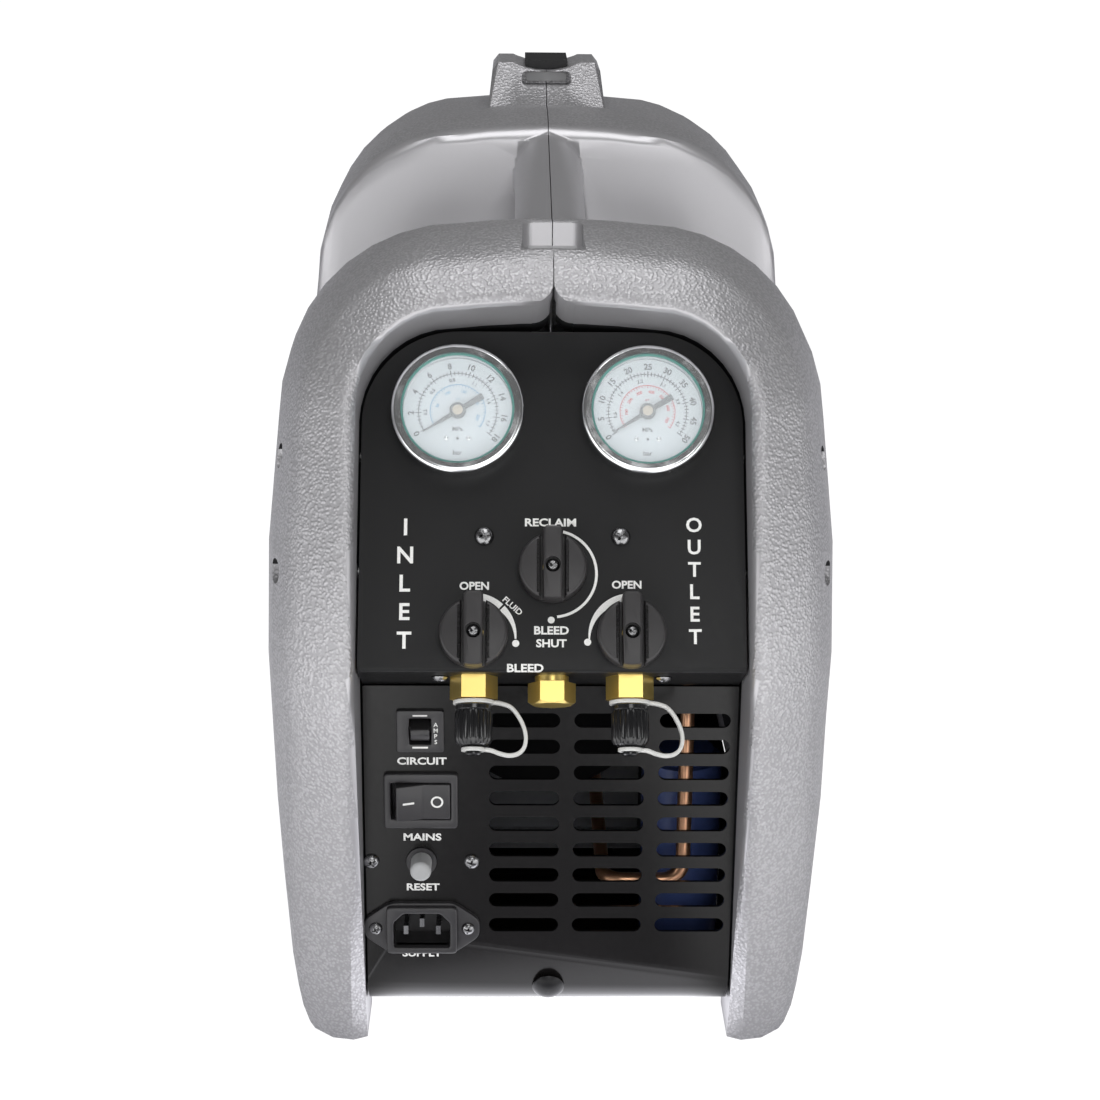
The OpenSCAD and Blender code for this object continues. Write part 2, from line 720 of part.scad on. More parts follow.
// Control panel: tilted plate, return under it and side flanges
panel_corner = 40;
return_depth = (step_overhang + 6) / cos(panel_tilt);
flange_depth = 22;
flange_from = 8;
flange_to = 100;
block_screws = [28, 56];
return_screw_x = 46;
block_screw = 4;

module control_panel() {
    color("#1b1b1d") on_panel() difference() {
        union() {
            translate([0, 0, -sheet]) linear_extrude(sheet) {
                translate([-half_panel, 0]) square([2 * half_panel, panel_length - panel_corner]);
                translate([-half_panel + panel_corner, 0])
                    square([2 * (half_panel - panel_corner), panel_length]);
                for (x = [-1, 1])
                    translate([x * (half_panel - panel_corner), panel_length - panel_corner])
                        circle(panel_corner);
            }
            translate([-half_panel, 0, -return_depth]) cube([2 * half_panel, sheet, return_depth]);
            for (x = [-half_panel, half_panel - sheet])
                translate([x, flange_from, -flange_depth])
                    cube([sheet, flange_to - flange_from, flange_depth]);
        }
        for (x = [-1, 1]) {
            translate([x * valve_x, valve_up, 0])
                cylinder(d = stem_diameter + 2, h = 4 * sheet, center = true);
            translate([x * gauge_x, gauge_up, 0])
                cylinder(d = can_diameter + 0.6, h = 4 * sheet, center = true);
            translate([x * block_screws[0], block_screws[1], 0])
                cylinder(d = block_screw + 0.4, h = 4 * sheet, center = true);
            translate([x * return_screw_x, 0, -port_depth]) rotate([90, 0, 0])
                cylinder(d = block_screw + 0.4, h = 4 * sheet, center = true);
            for (p = panel_edge_screws)
                translate([x * half_panel, p[0], -p[1]]) rotate([0, 90, 0])
                    cylinder(d = side_screw_shank + 0.4, h = 4 * sheet, center = true);
        }
        translate([0, mode_up, 0]) cylinder(d = stem_diameter + 2, h = 4 * sheet, center = true);
        for (x = [-valve_x, 0, valve_x])
            translate([x, 0, -port_depth]) rotate([90, 0, 0])
                cylinder(d = port_shank + 0.8, h = 4 * sheet, center = true);
    }
}

// Rear panel with its grille and side flanges
rear_slot = 40;
rear_slot_pitch = 46;
rear_slot_rows = 12;
rear_slot_low = 60;
rear_corner = opening_radius - panel_clearance + 3;
rear_panel_top = rear_opening_top - crown - panel_clearance;
rear_flange_low = 60;
rear_flange_top = 290;
module rear_panel() {
    color("#2a2a2c") difference() {
        union() {
            translate([0, rear_panel_y, 0]) rotate([90, 0, 0]) linear_extrude(sheet) {
                translate([-half_panel, pan_height])
                    square([2 * half_panel, rear_panel_top - rear_corner - pan_height]);
                translate([-half_panel + rear_corner, pan_height])
                    square([2 * (half_panel - rear_corner), rear_panel_top - pan_height]);
                for (x = [-1, 1])
                    translate([x * (half_panel - rear_corner), rear_panel_top - rear_corner])
                        circle(rear_corner);
            }
            for (x = [-half_panel, half_panel - sheet])
                translate([x, rear_panel_y - flange_depth, rear_flange_low])
                    cube([sheet, flange_depth, rear_flange_top - rear_flange_low]);
        }
        for (x = [-1:1], row = [0:rear_slot_rows - 1])
            translate([x * rear_slot_pitch, rear_panel_y, rear_slot_low + row * slot_pitch_z])
                rotate([90, 0, 0]) slot_cut(rear_slot, slot_height, 4 * sheet);
        for (x = [-1, 1], p = rear_edge_screws)
            translate([x * half_panel, rear_panel_y - p[1], p[0]]) rotate([0, 90, 0])
                cylinder(d = side_screw_shank + 0.4, h = 4 * sheet, center = true);
    }
}

// Valve block behind the control panel
block_half = 50;
block_front = 7;
block_back = 40;
block_top = 62;
block_boss = 9;
stem_reach = 28;
port_shank = 12.4;
port_sink = 6.5;
module valve_block() {
    color("#b9bcc0") on_panel() difference() {
        union() {
            translate([-block_half, sheet, -block_back])
                cube([2 * block_half, block_top - sheet, block_back - block_front]);
            for (x = [-1, 1])
                translate([x * block_screws[0], block_screws[1], -block_front - bite])
                    cylinder(d = block_boss, h = block_front + bite - sheet);
        }
        for (p = [[-valve_x, valve_up], [0, mode_up], [valve_x, valve_up]])
            translate([p[0], p[1], -stem_reach - 2])
                cylinder(r = stem_diameter / 2 + running_clearance, h = stem_reach);
        for (x = [-valve_x, 0, valve_x])
            translate([x, sheet - bite, -port_depth]) rotate([-90, 0, 0])
                cylinder(d = port_shank + 0.2, h = port_sink + bite);
        for (x = [-1, 1]) {
            translate([x * block_screws[0], block_screws[1], -block_front - 12])
                cylinder(d = block_screw + 0.1, h = 12 + block_front);
            translate([x * return_screw_x, sheet - bite, -port_depth]) rotate([-90, 0, 0])
                cylinder(d = block_screw + 0.1, h = 10);
        }
    }
}

module control_panel_screws() {
    color("#303033") {
        on_panel() for (x = [-1, 1])
            translate([x * block_screws[0], block_screws[1], 0]) pan_screw(8, 3, block_screw, 16);
        for (x = [-1, 1])
            at_port(x * return_screw_x) pan_screw(7, 2.6, block_screw, sheet + 7);
    }
}

// Pressure gauges
dial_floor = 3;
dial_thick = 0.8;
window_seat = 7;
window_thick = 1.6;
spindle = 2;
gauge_stem = 12;
gauge_line_depth = can_depth + 7;
module gauge_case(x) {
    color("#c9ccd0") on_panel() translate([x, gauge_up, 0]) {
        rotate_extrude() difference() {
            union() {
                translate([0, -can_depth]) square([can_diameter / 2, can_depth]);
                square([bezel_diameter / 2, bezel_height - 2]);
                square([bezel_diameter / 2 - 2, bezel_height]);
                translate([bezel_diameter / 2 - 2, bezel_height - 2]) circle(2);
            }
            translate([0, dial_floor]) square([dial_diameter / 2 - 0.7, bezel_height]);
            translate([0, window_seat]) square([dial_diameter / 2, bezel_height]);
        }
        translate([0, 0, dial_floor - bite]) cylinder(d = spindle, h = bite + 2.7);
        translate([-gauge_stem / 2, -gauge_stem / 2, -can_depth - 14])
            cube([gauge_stem, gauge_stem, 15]);
    }
}

module gauge_dial(x) {
    color("#eef3f6") on_panel() translate([x, gauge_up, dial_floor]) difference() {
        cylinder(d = dial_diameter - 2, h = dial_thick);
        translate([0, 0, -bite]) cylinder(d = spindle + 0.6, h = 3 * bite);
    }
}

module gauge_window(x) {
    color("#dfeaf0", 0.3) on_panel() translate([x, gauge_up, window_seat])
        cylinder(d = dial_diameter - 0.3, h = window_thick);
}

// Needle over the dial, with a thin pointer and a broad tail
needle_low = dial_floor + dial_thick + 0.5;
needle_tip = 16.8;
needle_tail = 12.4;
module gauge_needle(x) {
    color("#1d1d1f") on_panel() translate([x, gauge_up, needle_low]) rotate([0, 0, needle_rest])
        difference() {
            union() {
                cylinder(d = 7, h = 2);
                linear_extrude(0.8) {
                    polygon([[0, -1.1], [needle_tip, -0.35], [needle_tip, 0.35], [0, 1.1]]);
                    translate([-needle_tail, -1.4]) square([needle_tail, 2.8]);
                }
            }
            translate([0, 0, -bite]) cylinder(r = spindle / 2 + running_clearance, h = bite + 1.6);
        }
}

// Capillary lines from the gauges down to the valve block
module gauge_lines() {
    color("#b4713d") on_panel() for (x = [-1, 1])
        translate([x * gauge_x, block_top, -gauge_line_depth]) rotate([-90, 0, 0])
            cylinder(d = 6, h = gauge_up - gauge_stem / 2 - block_top);
}

// Valve knobs, their screws and stems, each on the control panel at [x, up]
knob_bore = knob_skirt - 1.6;
groove_deep = 1.2;
bar_inset = 0.9;
module at_valve(p) {
    on_panel() translate([p[0], p[1], 0]) children();
}

module knob(p) {
    bar_length = knob_diameter + knob_pointer - bar_inset;
    color("#2b2b2e") at_valve(p) difference() {
        union() {
            difference() {
                translate([0, 0, turning_gap]) cylinder(d = knob_diameter, h = knob_skirt - turning_gap);
                translate([-knob_bar / 2 - knob_groove, -knob_diameter, knob_skirt - groove_deep])
                    cube([knob_bar + 2 * knob_groove, 2 * knob_diameter, knob_height]);
            }
            translate([-knob_bar / 2, bar_inset - knob_diameter / 2, turning_gap])
                cube([knob_bar, bar_length, knob_height - turning_gap]);
        }
        translate([0, 0, -bite]) cylinder(r = stem_diameter / 2 + running_clearance, h = knob_bore + bite);
        cylinder(d = knob_screw + 0.4, h = 2 * knob_height);
        translate([0, 0, knob_height - knob_screw_sink])
            cylinder(d = knob_screw_head + 0.6, h = knob_height);
    }
}

knob_screw_sink = 3;
knob_screw = 3;
knob_screw_head = 5.6;
module knob_screw_piece(p) {
    color("#4a4a4d") at_valve(p) translate([0, 0, knob_height - knob_screw_sink])
        pan_screw(knob_screw_head, 2.2, knob_screw, 6);
}

module valve_stem(p) {
    color("#b8a15a") at_valve(p) difference() {
        translate([0, 0, -stem_reach]) cylinder(d = stem_diameter, h = stem_reach + knob_bore - 0.2);
        cylinder(d = knob_screw + 0.2, h = knob_bore);
    }
}

// Hose ports, in the frame whose +Z points out of the port
ring_low = port_hex_height + turning_gap;
ring_thick = 1.6;
cap_low = ring_low + ring_thick + turning_gap;
cap_length = 17;
cap_end = 3.4;
nub = 5;
nub_length = 3.6;
module hose_port(x) {
    color("#d8a93c") at_port(x) difference() {
        union() {
            cylinder(d = port_hex / cos(30), h = port_hex_height, $fn = 6);
            translate([0, 0, -sheet - port_sink + 0.3]) cylinder(d = port_shank, h = sheet + port_sink);
            cylinder(d = nozzle_diameter, h = port_hex_height + nozzle_length);
        }
        translate([0, 0, -20]) cylinder(d = 5, h = 60);
    }
}

purge_nozzle = 10;
purge_collar = 2.4;
purge_cap_height = 9;
module purge_port() {
    color("#c99a34") at_port(0) difference() {
        union() {
            cylinder(d = 14, h = purge_collar);
            translate([0, 0, -sheet - port_sink + 0.3]) cylinder(d = port_shank, h = sheet + port_sink);
            cylinder(d = purge_nozzle, h = purge_collar + 6);
        }
        translate([0, 0, -20]) cylinder(d = 4, h = 60);
    }
}

module purge_cap() {
    color("#dcae41") at_port(0) translate([0, 0, purge_collar + turning_gap]) difference() {
        intersection() {
            cylinder(d = port_hex / cos(30), h = purge_cap_height, $fn = 6);
            translate([0, 0, purge_cap_height - 14.5]) sphere(d = 33);
        }
        translate([0, 0, -bite]) cylinder(d = purge_nozzle + 2 * turning_gap, h = bite + 6.4);
    }
}

cap_ribs = 18;
rib_proud = 0.6;
module dust_cap(x) {
    color("#19191b") at_port(x) difference() {
        union() {
            translate([0, 0, cap_low]) cylinder(d = cap_diameter - 2 * rib_proud, h = cap_length);
            for (i = [0:cap_ribs - 1])
                rotate([0, 0, i * 360 / cap_ribs])
                    translate([0, -0.6, cap_low + 2.5]) cube([cap_diameter / 2, 1.2, cap_length - 4.5]);
            translate([0, 0, cap_low]) cylinder(d = nub, h = cap_length + nub_length);
            translate([0, 0, cap_low + cap_length + nub_length - 1.2]) cylinder(d = nub + 2, h = 1.2);
        }
        translate([0, 0, cap_low - bite])
            cylinder(d = nozzle_diameter + 2 * turning_gap, h = bite + cap_length - cap_end);
    }
}

// Tether: a ring under the port's hexagon, a strap round the side and a ring on the cap's nub
strap_width = 4;
strap_out = 13;
nub_ring_low = cap_low + cap_length + turning_gap + 0.05;
module tether(x) {
    bend = (nub_ring_low - ring_low) / 2;
    color("#e6e6e2") at_port(x) {
        difference() {
            union() {
                translate([0, 0, ring_low]) cylinder(d = 17, h = ring_thick);
                translate([0, -strap_width / 2, ring_low]) cube([strap_out, strap_width, ring_thick]);
            }
            translate([0, 0, ring_low - bite])
                cylinder(d = nozzle_diameter + 2 * turning_gap, h = 3 * bite + ring_thick);
        }
        difference() {
            union() {
                translate([0, 0, nub_ring_low]) cylinder(d = nub + 5, h = ring_thick);
                translate([0, -strap_width / 2, nub_ring_low]) cube([strap_out, strap_width, ring_thick]);
            }
            translate([0, 0, nub_ring_low - bite])
                cylinder(d = nub + 2 * turning_gap, h = 3 * bite + ring_thick);
        }
        translate([strap_out, 0, ring_low + bend + ring_thick / 2]) rotate([90, 0, 0])
            rotate_extrude(angle = 180, start = -90)
                translate([bend - ring_thick / 2, -strap_width / 2]) square([ring_thick, strap_width]);
    }
}

// Power switch: a body with its bezel, and a rocker that tips left and right on trunnions
power_body = [27, 21, 20];
power_well = [25.4, 16.8, 13];
rocker_half = 11.6;
rocker_tall = 16;
rocker_pivot = -3;
rocker_tip = 9;
trunnion = 3;
trunnion_out = 1.2;
bezel_thick = 2.2;
module on_power() {
    on_front() translate([control_x, power_z, 0]) children();
}

module power_switch_body() {
    color("#1a1a1c") on_power() difference() {
        union() {
            rounded_plate(power_bezel, 2, bezel_thick);
            translate([-power_body[0] / 2, -power_body[1] / 2, -power_body[2]]) cube(power_body);
        }
        translate([-power_well[0] / 2, -power_well[1] / 2, bezel_thick - power_well[2]])
            cube([power_well[0], power_well[1], 2 * power_well[2]]);
        translate([0, 0, rocker_pivot]) rotate([90, 0, 0])
            cylinder(r = trunnion / 2 + running_clearance, h = rocker_tall + 2 * trunnion_out + 0.4,
                center = true);
    }
}

module power_rocker() {
    rise = rocker_half * tan(rocker_tip);
    color("#141416") on_power() translate([0, 0, rocker_pivot]) rotate([0, rocker_tip, 0]) {
        rotate([90, 0, 0]) linear_extrude(rocker_tall, center = true)
            polygon([[-rocker_half, 1], [-rocker_half, 5.6 + rise], [0, 5.6], [rocker_half, 5.6 + rise],
                [rocker_half, 1], [4, -4], [-4, -4]]);
        rotate([90, 0, 0]) cylinder(d = trunnion, h = rocker_tall + 2 * trunnion_out, center = true);
    }
}

// Breaker: a frame with a small paddle that tips up and down
breaker_body_size = [17, 15.5, 22];
breaker_well = [9, 11.5, 12];
paddle = [8, 6.4];
paddle_pivot = -3;
paddle_pin = 2.4;
module on_breaker() {
    on_front() translate([control_x, breaker_z, 0]) children();
}

module breaker_body() {
    color("#1a1a1c") on_breaker() difference() {
        union() {
            rounded_plate(breaker_frame, 1.2, 1.8);
            translate([-breaker_body_size[0] / 2, -breaker_body_size[1] / 2, -breaker_body_size[2]])
                cube(breaker_body_size);
        }
        translate([-breaker_well[0] / 2, -breaker_well[1] / 2, 1.8 - breaker_well[2]])
            cube([breaker_well[0], breaker_well[1], 2 * breaker_well[2]]);
        translate([0, 0, paddle_pivot]) rotate([0, 90, 0])
            cylinder(r = paddle_pin / 2 + running_clearance, h = paddle[0] + 3.6, center = true);
    }
}

module breaker_paddle() {
    color("#0f0f10") on_breaker() translate([0, 0, paddle_pivot]) {
        rotate([12, 0, 0]) translate([-paddle[0] / 2, -paddle[1] / 2, -3]) cube([paddle[0], paddle[1], 10]);
        rotate([0, 90, 0]) cylinder(d = paddle_pin, h = paddle[0] + 3, center = true);
    }
}

// Pressure cut-out switch with its reset button
reset_collar = 13;
reset_travel = 4;
reset_inside = 8;
small_screw = 3;
reset_plate = [48, 15];
module on_reset() {
    on_front() translate([control_x, reset_z, 0]) children();
}

module reset_switch() {
    color("#242427") on_reset() difference() {
        union() {
            translate([0, 0, -bite]) cylinder(d = reset_collar, h = bite + 0.8);
            translate([-reset_plate[0] / 2, -reset_plate[1] / 2, -sheet - 2])
                cube([reset_plate[0], reset_plate[1], 2]);
            translate([0, 0, -26]) cylinder(d = 22, h = 26 - sheet);
            translate([0, 0, -sheet - bite]) cylinder(d = reset_collar, h = sheet + bite);
        }
        translate([0, 0, -reset_inside - reset_travel - 1])
            cylinder(d = reset_diameter + 2 * running_clearance, h = 40);
        for (x = [-1, 1])
            translate([x * reset_screws / 2, 0, -sheet - 3]) cylinder(d = small_screw + 0.1, h = 4);
    }
}

module reset_button() {
    edge = 1.6;
    color("#9c9ea1") on_reset() rotate_extrude() {
        translate([0, -reset_inside]) square([reset_diameter / 2, reset_inside + reset_out - edge]);
        square([reset_diameter / 2 - edge, reset_out]);
        intersection() {
            translate([reset_diameter / 2 - edge, reset_out - edge]) circle(edge);
            square([reset_diameter, reset_out]);
        }
    }
}

module reset_switch_screws() {
    color("#303033") on_reset() for (x = [-1, 1])
        translate([x * reset_screws / 2, 0, 0]) pan_screw(7, 2.6, small_screw, sheet + 4);
}

// Mains inlet with three pins
inlet_flange = [50, 24, 2.4];
inlet_body = [27, 19.6, 19];
inlet_frame = [30.5, 22, 5];
inlet_well = [24.5, 16.5, 16];
inlet_cut = 4.5;
inlet_taper = 11;
pin_size = [4, 2, 12];
pin_spread = 7;
pin_rise = 2;
module on_inlet() {
    on_front() translate([control_x, inlet_z, 0]) children();
}

module inlet_outline(w, h) {
    polygon([[-w / 2, -h / 2], [w / 2, -h / 2], [w / 2, h / 2 - inlet_cut], [w / 2 - inlet_cut, h / 2],
        [-w / 2 + inlet_cut, h / 2], [-w / 2, h / 2 - inlet_cut]]);
}

module inlet_socket() {
    w = inlet_flange[0] / 2;
    h = inlet_flange[1] / 2;
    color("#161618") on_inlet() difference() {
        union() {
            linear_extrude(inlet_flange[2])
                polygon([[-w, -4], [-w + inlet_taper, -h], [w - inlet_taper, -h], [w, -4],
                    [w, 4], [w - inlet_taper, h], [-w + inlet_taper, h], [-w, 4]]);
            linear_extrude(inlet_frame[2]) inlet_outline(inlet_frame[0], inlet_frame[1]);
            translate([-inlet_body[0] / 2, -inlet_body[1] / 2, -inlet_body[2]])
                cube([inlet_body[0], inlet_body[1], inlet_body[2]]);
        }
        translate([0, 0, inlet_frame[2] - inlet_well[2]]) linear_extrude(40)
            inlet_outline(inlet_well[0], inlet_well[1]);
        for (x = [-1, 1])
            translate([x * inlet_screws / 2, 0, -bite]) cylinder(d = small_screw + 0.4, h = 10);
    }
}

module inlet_pins() {
    color("#c4c7cb") on_inlet() for (p = [[-pin_spread, -1.5], [0, pin_rise], [pin_spread, -1.5]])
        translate([p[0] - pin_size[1] / 2, p[1] - pin_size[0] / 2, inlet_frame[2] - inlet_well[2]])
            cube([pin_size[1], pin_size[0], pin_size[2]]);
}

module inlet_socket_screws() {
    color("#303033") on_inlet() for (x = [-1, 1])
        translate([x * inlet_screws / 2, 0, inlet_flange[2]])
            pan_screw(5.8, 1.8, small_screw, inlet_flange[2] + sheet + 4);
}

// Condenser, fan, motor and compressor, counted forward from the rear panel
condenser_gap = 17;
condenser_deep = 26;
condenser_front = rear_panel_y - condenser_gap - condenser_deep;
fan_y = condenser_front - 20;
motor_front = fan_y - motor_length - 26;
mount_height = 12;
mount_diameter = 20;
mount_x = 44;
base_plate = 3;
base_low = pan_top + mount_height;
base_front = motor_front - 96;
base_length = 210;
base_width = 112;
saddle_size = [92, 5, 46];
saddle_at = [motor_front - 78, motor_front + 22, motor_front + 96];
crank_diameter = 100;
crank_front = motor_front - 100;
barrel_diameter = 60;
barrel_at = motor_front - 50;
barrel_fins = 5;
barrel_fin_low = 52;
barrel_fin_pitch = 5.5;
barrel_fin_out = 7;
barrel_fin_thick = 2;
head_size = [76, 76, 22];
head_plate = 10;
head_fins = 8;
head_fin = 6;
head_low = shaft_z + 78;
module along_y(from, to, diameter) {
    translate([0, to, shaft_z]) rotate([90, 0, 0]) cylinder(d = diameter, h = to - from);
}

module rubber_mounts() {
    color("#1a1a1a") for (x = [-1, 1], y = [base_front + 18, base_front + base_length - 18])
        translate([x * mount_x, y, pan_top]) cylinder(d = mount_diameter, h = mount_height);
}

module compressor_base() {
    color("#55585c") difference() {
        union() {
            translate([-base_width / 2, base_front, base_low]) cube([base_width, base_length, base_plate]);
            for (y = saddle_at)
                translate([-saddle_size[0] / 2, y, base_low]) cube(saddle_size);
        }
        along_y(base_front - bite, motor_front, crank_diameter + 0.1);
        along_y(motor_front, base_front + base_length + bite, motor_diameter + 0.1);
    }
}

module crankcase() {
    color("#8d9095") {
        along_y(crank_front, motor_front, crank_diameter);
        translate([0, barrel_at, shaft_z]) cylinder(d = barrel_diameter, h = head_low - shaft_z);
        for (i = [0:barrel_fins - 1])
            translate([0, barrel_at, shaft_z + barrel_fin_low + i * barrel_fin_pitch])
                cylinder(d = barrel_diameter + 2 * barrel_fin_out, h = barrel_fin_thick);
    }
}

module cylinder_head() {
    color("#a4a7ab") translate([-head_size[0] / 2, barrel_at - head_size[1] / 2, head_low]) {
        cube([head_size[0], head_size[1], head_plate]);
        for (i = [0:head_fins - 1])
            translate([i * (head_size[0] - head_fin) / (head_fins - 1), 0, head_plate - bite])
                cube([head_fin, head_size[1], head_size[2] - head_plate + bite]);
    }
}

module motor() {
    color("#3d4a5c") difference() {
        union() {
            along_y(motor_front, motor_front + motor_length, motor_diameter);
            along_y(motor_front + motor_length - bite, motor_front + motor_length + 8, 60);
        }
        along_y(motor_front + motor_length - 8, motor_front + motor_length + 20,
            shaft_diameter + 2 * running_clearance);
    }
}

fan_hub = 36;
fan_depth = 20;
fan_blades = 5;
blade_pitch = 30;
module motor_shaft() {
    color("#b5b8bc") along_y(motor_front + motor_length - 7, fan_y + fan_depth / 2 + 2, shaft_diameter);
}

module fan() {
    color("#222225") translate([0, fan_y, shaft_z]) rotate([90, 0, 0]) difference() {
        union() {
            cylinder(d = fan_hub, h = fan_depth, center = true);
            intersection() {
                cylinder(d = fan_diameter, h = fan_depth, center = true);
                for (i = [0:fan_blades - 1])
                    rotate([0, 0, i * 360 / fan_blades]) translate([fan_hub / 2 - 3, 0, 0])
                        rotate([blade_pitch, 0, 0]) translate([0, -18, -1]) cube([fan_diameter / 2, 36, 2]);
            }
        }
        cylinder(d = shaft_diameter + 0.1, h = 2 * fan_depth, center = true);
    }
}

// Condenser with the fan's shroud on its face
condenser_half = 72;
condenser_top = 226;
fin_pitch = 6.5;
tube_rows = 5;
module condenser() {
    color("#aeb3b8") {
        for (x = [-condenser_half, condenser_half - sheet])
            translate([x, condenser_front, pan_top]) cube([sheet, condenser_deep, condenser_top - pan_top]);
        for (x = [-condenser_half + fin_pitch:fin_pitch:condenser_half - fin_pitch])
            translate([x - 0.5, condenser_front + 2, pan_top + 8])
                cube([1, condenser_deep - 4, condenser_top - pan_top - 12]);
        for (i = [0:tube_rows - 1])
            translate([-condenser_half, condenser_front + condenser_deep / 2, 62 + i * 34]) rotate([0, 90, 0])
                cylinder(d = 9.5, h = 2 * condenser_half);
        for (p = [[line_x, discharge_z], [-line_x, liquid_z]])
            translate([p[0] - 7, condenser_front, p[1] - 7]) cube([14, 8, 14]);
    }
}

shroud_gap = 2;
module fan_shroud() {
    wide = fan_diameter + 2 * shroud_gap;
    color("#2d2d30") difference() {
        union() {
            translate([-condenser_half, condenser_front - 2, shaft_z - condenser_half])
                cube([2 * condenser_half, 2, 2 * condenser_half]);
            along_y(fan_y - 8, condenser_front - 1, wide + 2 * sheet);
        }
        along_y(fan_y - 20, condenser_front + 10, wide);
    }
}

// Copper lines
line_x = 62;
line_bend = 10;
discharge_z = head_low + 5;
liquid_z = 40;
suction_x = 59;
suction_y = lower_y + 17;
suction_low = 72;
suction_inner = 24;
suction_bend = 9;
block_line_up = 38;
block_line_z = step_height + block_line_up * cos(panel_tilt)
    - (suction_y - step_y - block_line_up * sin(panel_tilt)) * tan(panel_tilt);
module suction_line() {
    color("#b8703a") line_run([
        [block_half, suction_y, block_line_z],
        [suction_x, suction_y, block_line_z],
        [suction_x, suction_y, suction_low],
        [suction_inner, suction_y, suction_low],
        [suction_inner, crank_front + 20, suction_low]], line_diameter, suction_bend);
}

module discharge_line() {
    color("#b8703a") line_run([
        [head_size[0] / 2, barrel_at, discharge_z],
        [line_x, barrel_at, discharge_z],
        [line_x, condenser_front, discharge_z]], line_diameter, line_bend);
}

module liquid_line() {
    color("#b8703a") line_run([
        [-line_x, condenser_front, liquid_z],
        [-line_x, suction_y + 40, liquid_z],
        [-line_x, suction_y + 40, block_line_z],
        [-line_x, suction_y, block_line_z],
        [-block_half, suction_y, block_line_z]], line_diameter, line_bend);
}

capacitor_at = [half_panel - 19, lower_y + 49];
capacitor_cap = [8, 4];
module run_capacitor() {
    color("#27305a") translate([capacitor_at[0], capacitor_at[1], pan_top]) {
        cylinder(d = capacitor_diameter, h = capacitor_height);
        cylinder(d = capacitor_diameter - capacitor_cap[0], h = capacitor_height + capacitor_cap[1]);
    }
}

module input_gauge_case() { gauge_case(-gauge_x); }
module output_gauge_case() { gauge_case(gauge_x); }
module input_gauge_dial() { gauge_dial(-gauge_x); }
module output_gauge_dial() { gauge_dial(gauge_x); }
module input_gauge_window() { gauge_window(-gauge_x); }
module output_gauge_window() { gauge_window(gauge_x); }
module input_needle() { gauge_needle(-gauge_x); }
module output_needle() { gauge_needle(gauge_x); }
module input_knob() { knob([-valve_x, valve_up]); }
module mode_knob() { knob([0, mode_up]); }
module output_knob() { knob([valve_x, valve_up]); }
module input_knob_screw() { knob_screw_piece([-valve_x, valve_up]); }
module mode_knob_screw() { knob_screw_piece([0, mode_up]); }
module output_knob_screw() { knob_screw_piece([valve_x, valve_up]); }
module input_stem() { valve_stem([-valve_x, valve_up]); }
module mode_stem() { valve_stem([0, mode_up]); }
module output_stem() { valve_stem([valve_x, valve_up]); }
module input_port() { hose_port(-valve_x); }
module output_port() { hose_port(valve_x); }
module input_cap() { dust_cap(-valve_x); }
module output_cap() { dust_cap(valve_x); }
module input_tether() { tether(-valve_x); }
module output_tether() { tether(valve_x); }

right_shell();
left_shell();
saddle_pad();
seam_clips();
side_screws();
base_pan();
base_bolt();
control_panel();
rear_panel();
control_panel_screws();
reset_switch_screws();
inlet_socket_screws();
valve_block();
input_gauge_case();
output_gauge_case();
input_gauge_dial();
output_gauge_dial();
input_gauge_window();
output_gauge_window();
input_needle();
output_needle();
gauge_lines();
input_knob();
mode_knob();
output_knob();
input_knob_screw();
mode_knob_screw();
output_knob_screw();
input_stem();
mode_stem();
output_stem();
input_port();
purge_port();
output_port();
input_cap();
purge_cap();
output_cap();
input_tether();
output_tether();
power_switch_body();
power_rocker();
breaker_body();
breaker_paddle();
reset_switch();
reset_button();
inlet_socket();
inlet_pins();
rubber_mounts();
compressor_base();
crankcase();
cylinder_head();
motor();
motor_shaft();
fan();
condenser();
fan_shroud();
suction_line();
discharge_line();
liquid_line();
run_capacitor();
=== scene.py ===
"""Portable refrigerant recovery machine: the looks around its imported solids."""

import json
import math

import bmesh
import bpy
from bpy.props import FloatProperty, FloatVectorProperty, PointerProperty
from mathutils import Matrix, Vector


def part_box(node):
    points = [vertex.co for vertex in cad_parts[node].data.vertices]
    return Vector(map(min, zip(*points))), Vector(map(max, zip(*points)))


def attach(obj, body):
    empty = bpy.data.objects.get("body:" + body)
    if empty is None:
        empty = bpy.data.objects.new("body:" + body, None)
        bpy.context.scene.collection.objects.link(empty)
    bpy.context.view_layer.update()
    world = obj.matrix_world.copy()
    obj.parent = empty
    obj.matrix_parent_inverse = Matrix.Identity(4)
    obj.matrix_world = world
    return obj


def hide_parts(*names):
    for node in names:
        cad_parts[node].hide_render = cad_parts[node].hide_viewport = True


bl_info = {
    "name": "Recovery machine dressing",
    "version": (1, 0, 0),
    "blender": (4, 5, 0),
    "location": "View3D > Sidebar > Machine",
    "description": "Dresses the solids of a refrigerant recovery machine",
    "category": "Object",
}

